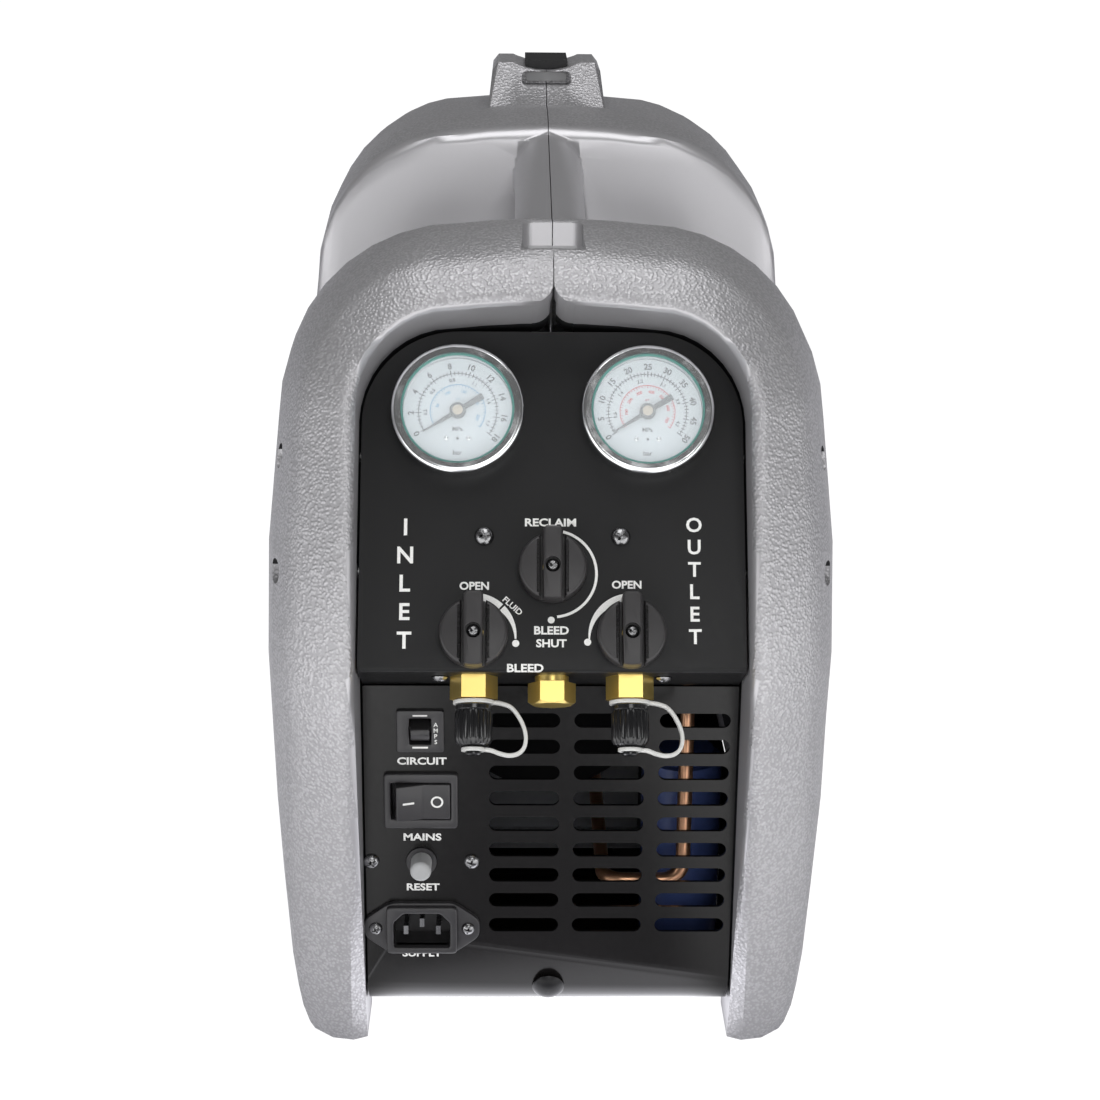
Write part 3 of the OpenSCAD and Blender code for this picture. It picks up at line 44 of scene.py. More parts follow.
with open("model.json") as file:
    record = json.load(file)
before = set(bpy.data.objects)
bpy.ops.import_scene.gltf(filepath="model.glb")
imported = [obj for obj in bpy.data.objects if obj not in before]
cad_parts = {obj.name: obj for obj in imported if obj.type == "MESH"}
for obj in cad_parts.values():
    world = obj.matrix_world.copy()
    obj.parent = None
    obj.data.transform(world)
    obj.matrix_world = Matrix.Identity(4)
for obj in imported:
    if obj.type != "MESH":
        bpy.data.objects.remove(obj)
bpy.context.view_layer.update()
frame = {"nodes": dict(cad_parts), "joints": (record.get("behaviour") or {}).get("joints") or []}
JOINTS = {joint["name"]: joint for joint in frame["joints"]}
MM = 0.001
ACROSS = Vector((1, 0, 0))
OUT_OF_PANEL = Vector(JOINTS["mode_valve_turn"]["axis"])
UP_PANEL = OUT_OF_PANEL.cross(ACROSS)
GAUGES = {"input": "input_needle_swing", "output": "output_needle_swing"}
VALVES = ("input", "mode", "output")


# Places


def local_frame(x_axis, y_axis, z_axis, origin):
    """Matrix from millimetres in a local frame to metres in the object's frame."""
    turn = Matrix((x_axis, y_axis, z_axis)).transposed().to_4x4()
    return Matrix.Translation(origin) @ turn @ Matrix.Scale(MM, 4)


def joint_spot(name):
    """Point on a joint's axis, in metres."""
    return Vector(JOINTS[name]["pos_m"])


def panel_frame(origin):
    """Frame on the control panel: x to the right, y up the slope, z outwards."""
    return local_frame(ACROSS, UP_PANEL, OUT_OF_PANEL, origin)


def panel_edge():
    """Middle of the control panel's lower edge."""
    spot = joint_spot("mode_valve_turn")
    down = (spot.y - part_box("control_panel")[0].y) / UP_PANEL.y
    return spot - UP_PANEL * down


def port_frame(joint):
    """Frame of a hose port: z out of the port, y out of the control panel."""
    return local_frame(ACROSS, OUT_OF_PANEL, -UP_PANEL, joint_spot(joint))


def front_frame(x, z):
    """Frame on the lower front panel: x to the right, y up, z outwards."""
    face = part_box("base_pan")[0].y
    return local_frame(ACROSS, Vector((0, 0, 1)), Vector((0, -1, 0)), (x, face, z))


def node_middle(node):
    """Middle of a node's box."""
    low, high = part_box(node)
    return (low + high) / 2


def moved(x=0.0, y=0.0, z=0.0):
    """A shift in millimetres."""
    return Matrix.Translation((x, y, z))


def turned(degrees, axis="Z"):
    """A turn about a local axis."""
    return Matrix.Rotation(math.radians(degrees), 4, axis)


# Meshes, in millimetres until they are placed


def linked(name, data):
    """New object in the scene."""
    made = bpy.data.objects.new(name, data)
    bpy.context.scene.collection.objects.link(made)
    return made


def as_mesh(name, shape):
    """The shape as a mesh; the shape is freed."""
    mesh = bpy.data.meshes.new(name)
    shape.to_mesh(mesh)
    shape.free()
    return mesh


def taken(mesh):
    """The mesh as a shape; the mesh is removed."""
    shape = bmesh.new()
    shape.from_mesh(mesh)
    bpy.data.meshes.remove(mesh)
    return shape


def evaluated(made):
    """Mesh of an object with its modifiers."""
    bpy.context.view_layer.update()
    seen = made.evaluated_get(bpy.context.evaluated_depsgraph_get())
    return bpy.data.meshes.new_from_object(seen)


def stepwise(table, value):
    """Value between the rows of a table, level beyond its ends."""
    rows = sorted(table)
    for (a, low), (b, high) in zip(rows, rows[1:]):
        if a <= value <= b:
            return low + (high - low) * (value - a) / (b - a)
    return rows[0][1] if value < rows[0][0] else rows[-1][1]


def polar(radius, degrees):
    """Point at an angle, counter-clockwise from the right."""
    a = math.radians(degrees)
    return (radius * math.cos(a), radius * math.sin(a))


def filleted(points, radius, steps=4):
    """Closed outline with every corner rounded."""
    made = []
    count = len(points)
    for i, corner in enumerate(points):
        here = Vector(corner)
        before = Vector(points[i - 1]) - here
        after = Vector(points[(i + 1) % count]) - here
        reach = min(radius, before.length * 0.45, after.length * 0.45)
        start = here + before.normalized() * reach
        end = here + after.normalized() * reach
        for k in range(steps + 1):
            t = k / steps
            made.append(start * (1 - t) ** 2 + here * (2 * t * (1 - t)) + end * t**2)
    return [tuple(p) for p in made]


def box_outline(width, height, radius):
    """Rounded rectangle about the middle."""
    w, h = width / 2, height / 2
    return filleted([(-w, -h), (w, -h), (w, h), (-w, h)], radius)


def round_outline(diameter, count=48):
    """Circle about the middle."""
    return [polar(diameter / 2, 360 * i / count) for i in range(count)]


def inset(outline, by):
    """Outline moved inwards by a small distance; it runs counter-clockwise."""
    made = []
    count = len(outline)
    for i, point in enumerate(outline):
        here = Vector(point)
        a = (here - Vector(outline[i - 1])).normalized()
        b = (Vector(outline[(i + 1) % count]) - here).normalized()
        along = a + b
        if along.length < 1e-6:
            along = a
        along.normalize()
        lean = max(0.5, along.dot(b))
        made.append((here.x - along.y * by / lean, here.y + along.x * by / lean))
    return made


def stacked(rings, cap=True):
    """Solid through rings of points with equal counts, from the bottom up."""
    shape = bmesh.new()
    loops = [[shape.verts.new(p) for p in ring] for ring in rings]
    count = len(loops[0])
    for low, high in zip(loops, loops[1:]):
        for i in range(count):
            j = (i + 1) % count
            shape.faces.new((low[i], low[j], high[j], high[i]))
    if cap:
        shape.faces.new(loops[0][::-1])
        shape.faces.new(loops[-1])
    return shape


def lifted(outline, z):
    """Outline at a height."""
    return [(p[0], p[1], z) for p in outline]


def prism(outline, low, high, edge=0.0, both=False, steps=3):
    """Upright solid on an outline, with its upper or both edges rounded."""
    rings = []
    if both and edge:
        for k in range(steps):
            a = math.radians(90 * (1 - k / steps))
            rings.append(lifted(inset(outline, edge * (1 - math.cos(a))), low + edge * (1 - math.sin(a))))
        rings.append(lifted(outline, low + edge))
    else:
        rings.append(lifted(outline, low))
    if edge:
        for k in range(steps + 1):
            a = math.radians(90 * k / steps)
            rings.append(
                lifted(inset(outline, edge * (1 - math.cos(a))), high - edge * (1 - math.sin(a)))
            )
    else:
        rings.append(lifted(outline, high))
    return stacked(rings)


def rim(outer, inner, low, high, edge, floor=None):
    """Upright ring between two outlines of equal counts, its upper edges rounded.

    With a floor, the inside is a well with that floor."""
    rings = [lifted(outer, low)]
    steps = 3
    for k in range(steps + 1):
        a = math.radians(90 * k / steps)
        rings.append(lifted(inset(outer, edge * (1 - math.cos(a))), high - edge * (1 - math.sin(a))))
    for k in range(steps + 1):
        a = math.radians(90 * (1 - k / steps))
        rings.append(lifted(inset(inner, -edge * (1 - math.cos(a))), high - edge * (1 - math.sin(a))))
    if floor is not None:
        rings.append(lifted(inner, floor))
        return stacked(rings)
    rings.append(lifted(inner, low))
    rings.append(lifted(outer, low))
    shape = stacked(rings, cap=False)
    bmesh.ops.remove_doubles(shape, verts=shape.verts, dist=1e-5)
    return shape


def swept_round(outline, count):
    """The outline's points at equal angles about the middle."""
    made = []
    size = len(outline)
    for k in range(count):
        ray = Vector(polar(1.0, 360 * (k + 0.5) / count))
        for i in range(size):
            a, b = Vector(outline[i]), Vector(outline[(i + 1) % size])
            side = b - a
            bottom = ray.x * side.y - ray.y * side.x
            if abs(bottom) < 1e-9:
                continue
            reach = (a.x * side.y - a.y * side.x) / bottom
            share = (a.x * ray.y - a.y * ray.x) / bottom
            if reach > 0 and -1e-9 <= share <= 1 + 1e-9:
                made.append(tuple(ray * reach))
                break
    return made


def lathe(profile, count=64, ribs=0, rib_height=0.0):
    """Solid of revolution about z; the profile runs from the axis back to the axis.

    With ribs, radii marked by a third value swell in that many waves."""
    shape = bmesh.new()
    loops = []
    for point in profile:
        radius, z = point[0], point[1]
        swell = rib_height * (point[2] if len(point) > 2 else 0.0)
        if radius < 1e-6:
            loops.append([shape.verts.new((0, 0, z))])
            continue
        loop = []
        for i in range(count):
            wave = 0.5 + 0.5 * math.cos(math.tau * ribs * i / count) if ribs else 0.0
            x, y = polar(radius + swell * math.sqrt(wave), 360 * i / count)
            loop.append(shape.verts.new((x, y, z)))
        loops.append(loop)
    for low, high in zip(loops, loops[1:]):
        for i in range(count):
            j = (i + 1) % count
            corners = [low[i % len(low)], low[j % len(low)], high[j % len(high)], high[i % len(high)]]
            unique = list(dict.fromkeys(corners))
            if len(unique) > 2:
                shape.faces.new(unique)
    bmesh.ops.recalc_face_normals(shape, faces=shape.faces)
    return shape


def ring_lathe(profile, count=64):
    """Ring about z from a closed profile away from the axis."""
    shape = bmesh.new()
    loops = [
        [shape.verts.new((*polar(r, 360 * i / count), z)) for i in range(count)] for r, z in profile
    ]
    for low, high in zip(loops, loops[1:] + loops[:1]):
        for i in range(count):
            j = (i + 1) % count
            shape.faces.new((low[i], low[j], high[j], high[i]))
    bmesh.ops.recalc_face_normals(shape, faces=shape.faces)
    return shape


def strip(centre_line, widths, low, high):
    """Flat band along a line of points, with its own width at each point."""
    left, right = [], []
    last = len(centre_line) - 1
    for i, (point, width) in enumerate(zip(centre_line, widths)):
        ahead = Vector(centre_line[min(i + 1, last)]) - Vector(centre_line[max(i - 1, 0)])
        side = Vector((-ahead.y, ahead.x)).normalized() * width / 2
        left.append((point[0] + side.x, point[1] + side.y))
        right.append((point[0] - side.x, point[1] - side.y))
    return prism(right + left[::-1], low, high)


def arc_strip(middle, radius, start, end, widths, low, high, count=40):
    """Flat arc whose width runs through the widths given along it."""
    line, thick = [], []
    for k in range(count + 1):
        t = k / count
        x, y = polar(radius, start + (end - start) * t)
        line.append((middle[0] + x, middle[1] + y))
        at = t * (len(widths) - 1)
        i = min(int(at), len(widths) - 2)
        thick.append(widths[i] + (widths[i + 1] - widths[i]) * (at - i))
    return strip(line, thick, low, high)


def tapered_arc(middle, radius, start, end, widths, low, high, count=40):
    """Flat arc with a constant outer radius, whose width changes along it."""
    outer, inner = [], []
    for k in range(count + 1):
        t = k / count
        angle = start + (end - start) * t
        width = widths[0] + (widths[1] - widths[0]) * t
        for line, reach in ((outer, radius), (inner, radius - width)):
            x, y = polar(reach, angle)
            line.append((middle[0] + x, middle[1] + y))
    outline = outer + inner[::-1]
    return prism(outline if end > start else outline[::-1], low, high)


def ribbon(path, width, thick):
    """Strap of rounded oblong section along points in the x-z plane, flat across y."""
    section = box_outline(thick, width, thick * 0.4)
    rings = []
    last = len(path) - 1
    for i, (x, z) in enumerate(path):
        ahead = Vector(path[min(i + 1, last)]) - Vector(path[max(i - 1, 0)])
        ahead.normalize()
        rings.append([(x - ahead.y * a, b, z + ahead.x * a) for a, b in section])
    shape = stacked(rings)
    bmesh.ops.recalc_face_normals(shape, faces=shape.faces)
    return shape


def smooth_path(points, steps=8):
    """Smooth line through points."""
    made = []
    for i in range(len(points) - 1):
        a, b, c, d = (Vector(points[min(max(i + k, 0), len(points) - 1)]) for k in (-1, 0, 1, 2))
        bend = 2 * a - 5 * b + 4 * c - d
        twist = 3 * b - a - 3 * c + d
        for s in range(steps):
            t = s / steps
            made.append(tuple(0.5 * (2 * b + (c - a) * t + bend * t**2 + twist * t**3)))
    return made + [tuple(points[-1])]


def placed(shape, matrix, paint=0):
    """The shape moved by a matrix, its faces given one of the piece's finishes."""
    shape.transform(matrix)
    for face in shape.faces:
        face.material_index = paint
    return shape


def joined(parts):
    """One shape from several, which are freed."""
    whole = bmesh.new()
    for part in parts:
        carrier = as_mesh("carrier", part)
        whole.from_mesh(carrier)
        bpy.data.meshes.remove(carrier)
    return whole


def cut_away(shape, tool):
    """The shape less the tool; both are freed."""
    carriers = [linked("carrier", as_mesh("carrier", part)) for part in (shape, tool)]
    cutter = carriers[0].modifiers.new("cut", "BOOLEAN")
    cutter.operation = "DIFFERENCE"
    cutter.solver = "EXACT"
    cutter.object = carriers[1]
    made = taken(evaluated(carriers[0]))
    for carrier in carriers:
        bpy.data.meshes.remove(carrier.data)
    return made


def node_copy(node, flat_angle=0.4):
    """Merged copy of a CAD node's mesh, in metres, its flat faces made whole."""
    shape = bmesh.new()
    shape.from_mesh(frame["nodes"][node].data)
    bmesh.ops.remove_doubles(shape, verts=shape.verts, dist=2e-6)
    bmesh.ops.dissolve_limit(
        shape, angle_limit=math.radians(flat_angle), verts=shape.verts, edges=shape.edges
    )
    for face in shape.faces:
        face.material_index = 0
    return shape


PRINT_LOW = 0.01
PRINT_HIGH = 0.09


def lettering(text, height, centre, turn=0.0, width=None, bold=0.0, low=PRINT_LOW):
    """Raised print of a word, sized by its height, or by its width too."""
    curve = bpy.data.curves.new("lettering", "FONT")
    curve.body = text
    curve.extrude = 0.5
    curve.offset = bold
    curve.resolution_u = 3
    mesh = evaluated(linked("lettering", curve))
    bpy.data.curves.remove(curve)
    shape = taken(mesh)
    bmesh.ops.remove_doubles(shape, verts=shape.verts, dist=1e-5)
    xs = [v.co.x for v in shape.verts]
    ys = [v.co.y for v in shape.verts]
    grow = height / (max(ys) - min(ys))
    stretch = width / (max(xs) - min(xs)) if width else grow
    shape.transform(moved(-(min(xs) + max(xs)) / 2, -(min(ys) + max(ys)) / 2, 0.5))
    shape.transform(Matrix.Diagonal((stretch, grow, PRINT_HIGH - PRINT_LOW, 1)))
    shape.transform(moved(centre[0], centre[1], low) @ turned(turn))
    return shape


def piece(name, shape, finishes, body, replaced=(), sharp=35.0):
    """Makes a shape that is in its place into a piece that rides on a body."""
    mesh = as_mesh(name, shape)
    mesh.shade_smooth()
    mesh.set_sharp_from_angle(angle=math.radians(sharp))
    for each in finishes:
        mesh.materials.append(finish(each))
    made = linked(name, mesh)
    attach(made, body)
    if replaced:
        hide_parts(*replaced)
    return made


def even_normals(made):
    """Weights a piece's normals by the size of its faces, so that flat faces look flat."""
    weighting = made.modifiers.new("weighting", "WEIGHTED_NORMAL")
    weighting.keep_sharp = True
    result = evaluated(made)
    made.modifiers.clear()
    rough = made.data
    made.data = result
    bpy.data.meshes.remove(rough)
    result.name = made.name


def dress(node, name):
    """Gives a CAD node one of the finishes."""
    mesh = frame["nodes"][node].data
    mesh.materials.clear()
    mesh.materials.append(finish(name))


# Node trees written as expressions


class Wire:
    """A node's output that takes part in Python maths; each sum adds a Math node."""

    def __init__(self, wiring, socket):
        self.wiring = wiring
        self.socket = socket

    def math(self, operation, first, second=0.0):
        """A Math node on two values."""
        return self.wiring.node("ShaderNodeMath", {"operation": operation}, {0: first, 1: second})

    def __add__(self, other):
        return self.math("ADD", self, other)

    def __radd__(self, other):
        return self.math("ADD", other, self)

    def __sub__(self, other):
        return self.math("SUBTRACT", self, other)

    def __rsub__(self, other):
        return self.math("SUBTRACT", other, self)

    def __mul__(self, other):
        return self.math("MULTIPLY", self, other)

    def __rmul__(self, other):
        return self.math("MULTIPLY", other, self)

    def __mod__(self, other):
        return self.math("MODULO", self, other)

    def __lt__(self, other):
        return self.math("LESS_THAN", self, other)


class Wiring:
    """A node tree."""

    def __init__(self, tree):
        self.tree = tree

    def node(self, kind, settings=None, sockets=None, out=0):
        """Adds a node: its settings first, then the values or links of its sockets."""
        made = self.tree.nodes.new(kind)
        for key, value in (settings or {}).items():
            setattr(made, key, value)
        for key, value in (sockets or {}).items():
            for each in value if isinstance(value, list) else [value]:
                if isinstance(each, Wire):
                    self.tree.links.new(each.socket, made.inputs[key])
                else:
                    made.inputs[key].default_value = each
        return Wire(self, made.outputs[out]) if len(made.outputs) else made


class Recipe(Wiring):
    """A procedural material on Object coordinates."""

    def __init__(self, name):
        self.material = bpy.data.materials.new(name)
        self.material.use_nodes = True
        super().__init__(self.material.node_tree)
        self.tree.nodes.clear()
        self.place = self.node("ShaderNodeTexCoord", out="Object")

    def along(self, axis):
        """One of the Object coordinates."""
        return self.node("ShaderNodeSeparateXYZ", {}, {0: self.place}, axis)

    def cloud(self, pitch, detail=3.0, stretch=(1.0, 1.0, 1.0)):
        """Noise with blots a few millimetres apart, drawn out where it is stretched."""
        vector = self.node("ShaderNodeMapping", {}, {"Vector": self.place, "Scale": stretch})
        return self.node(
            "ShaderNodeTexNoise", {}, {"Vector": vector, "Scale": 1 / (pitch * MM), "Detail": detail}
        )

    def pebbles(self, pitch):
        """Rounded grains a pitch apart."""
        return self.node(
            "ShaderNodeTexVoronoi",
            {"feature": "SMOOTH_F1"},
            {"Vector": self.place, "Scale": 1 / (pitch * MM), "Smoothness": 0.7},
        )

    def eased(self, value, low, high, to_low=0.0, to_high=1.0):
        """A value's share between two limits, with soft ends."""
        return self.node(
            "ShaderNodeMapRange",
            {"interpolation_type": "SMOOTHSTEP"},
            {"Value": value, "From Min": low, "From Max": high, "To Min": to_low, "To Max": to_high},
        )

    def blend(self, share, first, second):
        """Colour between two colours."""
        return self.node("ShaderNodeMix", {"data_type": "RGBA"}, {0: share, 6: first, 7: second}, 2)

    def relief(self, height, depth):
        """Normal from a height that stands that many millimetres proud."""
        return self.node("ShaderNodeBump", {}, {"Height": height, "Distance": depth * MM})

    def surface(self, sockets):
        """Ends the recipe in its shader."""
        shader = self.node("ShaderNodeBsdfPrincipled", {}, sockets)
        self.node("ShaderNodeOutputMaterial", {}, {"Surface": shader})
        return self.material


class Pattern(Wiring):
    """A Geometry Nodes tree with named inputs."""

    def __init__(self, name):
        super().__init__(bpy.data.node_groups.new(name, "GeometryNodeTree"))
        self.tree.interface.new_socket("Geometry", in_out="OUTPUT", socket_type="NodeSocketGeometry")
        self.entry = self.tree.nodes.new("NodeGroupInput")

    def ask(self, name, kind="Float"):
        """A named input."""
        self.tree.interface.new_socket(name, in_out="INPUT", socket_type="NodeSocket" + kind)
        return Wire(self, self.entry.outputs[name])

    def end(self, geometry):
        """Realizes the instances and sets the material."""
        solid = self.node("GeometryNodeRealizeInstances", {}, {0: geometry})
        painted = self.node(
            "GeometryNodeSetMaterial", {}, {"Geometry": solid, "Material": self.ask("Material", "Material")}
        )
        self.node("NodeGroupOutput", {}, {0: painted})

    def vector(self, x, y, z):
        """Vector from three values."""
        return self.node("ShaderNodeCombineXYZ", {}, {0: x, 1: y, 2: z})

    def bake(self, mesh, inputs):
        """Plain shape of the tree on a mesh, with these values on its inputs."""
        carrier = linked("carrier", mesh)
        modifier = carrier.modifiers.new("pattern", "NODES")
        modifier.node_group = self.tree
        for item in self.tree.interface.items_tree:
            if item.in_out == "INPUT" and item.name in inputs:
                modifier[item.identifier] = inputs[item.name]
        result = evaluated(carrier)
        carrier.modifiers.clear()
        bpy.data.meshes.remove(mesh)
        return taken(result)


def screw_pattern():
    """Cross-head screws on points that carry their turn and size."""
    pattern = Pattern("cross_head_screws")
    points = pattern.ask("Points", "Geometry")
    dome = pattern.ask("Dome height")
    slot_width = pattern.ask("Slot width")
    slot_length = pattern.ask("Slot length")
    ball = pattern.node(
        "GeometryNodeMeshUVSphere", {}, {"Segments": 28, "Rings": 16, "Radius": 0.5}, "Mesh"
    )
    head = pattern.node(
        "GeometryNodeTransform", {}, {"Geometry": ball, "Scale": pattern.vector(1.0, 1.0, 2 * dome)}
    )
    under = pattern.node("GeometryNodeMeshCube", {}, {"Size": (2.0, 2.0, 1.0)}, "Mesh")
    cutters = [
        pattern.node("GeometryNodeTransform", {}, {"Geometry": under, "Translation": (0.0, 0.0, -0.5)})
    ]
    for size in (
        pattern.vector(slot_length, slot_width, 0.5),
        pattern.vector(slot_width, slot_length, 0.5),
    ):
        bar = pattern.node("GeometryNodeMeshCube", {}, {"Size": size}, "Mesh")
        lift = pattern.vector(0.0, 0.0, dome * 0.35 + 0.25)
        cutters.append(
            pattern.node("GeometryNodeTransform", {}, {"Geometry": bar, "Translation": lift})
        )
    cross = pattern.node(
        "GeometryNodeMeshBoolean", {"operation": "DIFFERENCE"}, {0: head, 1: cutters}, "Mesh"
    )
    shank = pattern.node(
        "GeometryNodeMeshCylinder", {}, {"Vertices": 20, "Radius": 0.26, "Depth": 0.9}, "Mesh"
    )
    shank = pattern.node(
        "GeometryNodeTransform", {}, {"Geometry": shank, "Translation": (0.0, 0.0, -0.44)}
    )
    screw = pattern.node("GeometryNodeJoinGeometry", {}, {0: [cross, shank]})
    turn = pattern.node("GeometryNodeInputNamedAttribute", {"data_type": "FLOAT_VECTOR"}, {"Name": "turn"})
    size = pattern.node("GeometryNodeInputNamedAttribute", {"data_type": "FLOAT"}, {"Name": "size"})
    pattern.end(
        pattern.node(
            "GeometryNodeInstanceOnPoints",
            {},
            {
                "Points": points,
                "Instance": screw,
                "Rotation": pattern.node("FunctionNodeEulerToRotation", {}, {0: turn}),
                "Scale": pattern.vector(size, size, size),
            },
        )
    )
    return pattern


def tick_pattern():
    """Ticks round a dial, longer at every few."""
    pattern = Pattern("dial_ticks")
    count = pattern.ask("Count", "Int")
    first = pattern.ask("First angle")
    step = pattern.ask("Step")
    radius = pattern.ask("Radius")
    length = pattern.ask("Length")
    width = pattern.ask("Width")
    every = pattern.ask("Long every")
    longer = pattern.ask("Long factor")
    index = pattern.node("GeometryNodeInputIndex")
    angle = first - step * index
    spots = pattern.node("GeometryNodeMeshLine", {}, {"Count": count})
    where = pattern.vector(
        radius * angle.math("COSINE", angle), radius * angle.math("SINE", angle), 0.0
    )
    spots = pattern.node("GeometryNodeSetPosition", {}, {"Geometry": spots, "Position": where})
    tick = pattern.node(
        "GeometryNodeMeshCube", {}, {"Size": pattern.vector(length, width, 0.06)}, "Mesh"
    )
    grown = 1 + (longer - 1) * (((index + 0.5) % every) < 1)
    pattern.end(
        pattern.node(
            "GeometryNodeInstanceOnPoints",
            {},
            {
                "Points": spots,
                "Instance": tick,
                "Rotation": pattern.node(
                    "FunctionNodeEulerToRotation", {}, {0: pattern.vector(0.0, 0.0, angle)}
                ),
                "Scale": pattern.vector(grown, 1.0, 1.0),
            },
        )
    )
    return pattern


# Finishes


def shade(colour, factor):
    """The colour made darker or lighter."""
    return tuple(c * factor for c in colour[:3]) + (1.0,)


def moulded(name, colour, rough, mottle=0.06, pitch=0.7, depth=0.015, coat=0.0, gloss=0.5):
    """Moulded plastic or paint: soft blots, uneven gloss and a fine grain."""
    recipe = Recipe(name)
    tone = recipe.cloud(45.0)
    fine = recipe.cloud(2.5)
    blots = recipe.eased(tone + (fine - 0.5) * 0.3, 0.3, 0.7)
    return recipe.surface(
        {
            "Base Color": recipe.blend(blots, shade(colour, 1 - mottle), shade(colour, 1 + mottle)),
            "Roughness": rough + (fine - 0.5) * 0.14 + (tone - 0.5) * 0.1,
            "Normal": recipe.relief(recipe.pebbles(pitch), depth),
            "Specular IOR Level": gloss,
            "Coat Weight": coat,
            "Coat Roughness": 0.12,
        }
    )


def grained_shell(name, colour, pitch, depth):
    """Silver-grey moulding: leathery grain where the faces are marked for it, satin elsewhere."""
    recipe = Recipe(name)
    tone = recipe.cloud(60.0)
    fine = recipe.cloud(1.6)
    back = recipe.along("Y")
    valley = recipe.eased(back, -0.128, -0.121) * recipe.eased(back, 0.006, 0.013, 1.0, 0.0)
    hand = valley * recipe.eased(recipe.along("Z"), 0.248, 0.258)
    marked = recipe.node("ShaderNodeAttribute", {"attribute_name": "grain"}, out="Fac")
    share = marked * (1 - hand)
    bend = recipe.cloud(2.4, 1.0)
    grain = recipe.eased(recipe.pebbles(pitch) + (bend - 0.5) * 0.5, 0.12, 0.72)
    pits = grain * share
    # Base colour: random tone, plus painted shade that darkens the pits of the grain.
    tone_and_pit_shade = recipe.eased(tone * 0.5 + (1 - pits) * 0.5, 0.2, 0.8)
    return recipe.surface(
        {
            "Base Color": recipe.blend(tone_and_pit_shade, shade(colour, 0.84), shade(colour, 1.08)),
            "Roughness": 0.34 + share * 0.06 + pits * 0.1 + (fine - 0.5) * 0.08,
            "Metallic": 0.55,
            "Normal": recipe.relief((1 - pits) + fine * 0.03, depth),
        }
    )


def bare_metal(name, colour, stain, rough, streak=(1.0, 1.0, 1.0), pitch=1.2, depth=0.006):
    """Bare metal: tooling streaks, dull blots and a stain in them."""
    recipe = Recipe(name)
    blots = recipe.cloud(9.0, 4.0)
    marks = recipe.cloud(pitch, 2.0, streak)
    dull = recipe.eased(blots, 0.48, 0.72)
    return recipe.surface(
        {
            "Base Color": recipe.blend(dull * 0.6, colour, stain),
            "Metallic": 1.0,
            "Roughness": rough + (marks - 0.5) * 0.12 + dull * 0.12,
            "Normal": recipe.relief(marks, depth),
        }
    )


def clear_window(name):
    """Clear window with faint smears."""
    recipe = Recipe(name)
    smear = recipe.eased(recipe.cloud(14.0, 4.0), 0.45, 0.75)
    return recipe.surface(
        {
            "Base Color": (0.2, 0.22, 0.24, 1.0),
            "Roughness": 0.04 + smear * 0.1,
            "Alpha": 0.05 + smear * 0.02,
        }
    )


def printed(name, colour):
    """Screen print: even colour with a slight unevenness at the mesh's scale."""
    recipe = Recipe(name)
    speck = recipe.eased(recipe.cloud(0.5, 2.0), 0.35, 0.65)
    return recipe.surface(
        {"Base Color": recipe.blend(speck, shade(colour, 0.9), colour), "Roughness": 0.45 + speck * 0.1}
    )


def plain_floor(name, colour):
    """White floor with the faintest cloud in it, which lights the front more than the back.

    The camera sees it white. The pan mirrors a dark lane ahead of it and a bright patch under its bend."""
    recipe = Recipe(name)
    tone = recipe.eased(recipe.cloud(900.0, 2.0), 0.3, 0.7)
    across = recipe.along("X")
    back = recipe.along("Y")
    lane = recipe.eased(across * across, 0.003, 0.007, 1.0, 0.0)
    close = recipe.eased(back, -0.27, -0.225)
    under = lane * close * recipe.eased(back, -0.2, -0.12, 1.0, 0.0)
    ahead = lane * (1 - close) * recipe.eased(back, -0.95, -0.75)
    bright = (1 - recipe.eased(back, -0.7, -0.1) * (1 - under)) * (1 - ahead * 0.9)
    glow = recipe.blend(1 - bright, (1, 1, 1, 1), (0.16, 0.16, 0.18, 1))
    glow = recipe.blend(under, glow, (1.6, 1.6, 1.7, 1))
    pale = recipe.blend(tone, shade(colour, 0.99), colour)
    lit = recipe.node(
        "ShaderNodeBsdfPrincipled",
        {},
        {
            "Base Color": recipe.blend(ahead * 0.9, pale, (0.03, 0.03, 0.03, 1)),
            "Roughness": 0.75 + tone * 0.05,
            "Emission Color": glow,
            "Emission Strength": 1.5,
        },
    )
    white = recipe.node("ShaderNodeEmission", {}, {"Color": (1, 1, 1, 1), "Strength": 1.1})
    seen = recipe.node("ShaderNodeLightPath", out="Is Camera Ray")
    mixed = recipe.node("ShaderNodeMixShader", {}, {0: seen * 0.92, 1: lit, 2: white})
    recipe.node("ShaderNodeOutputMaterial", {}, {"Surface": mixed})
    return recipe.material


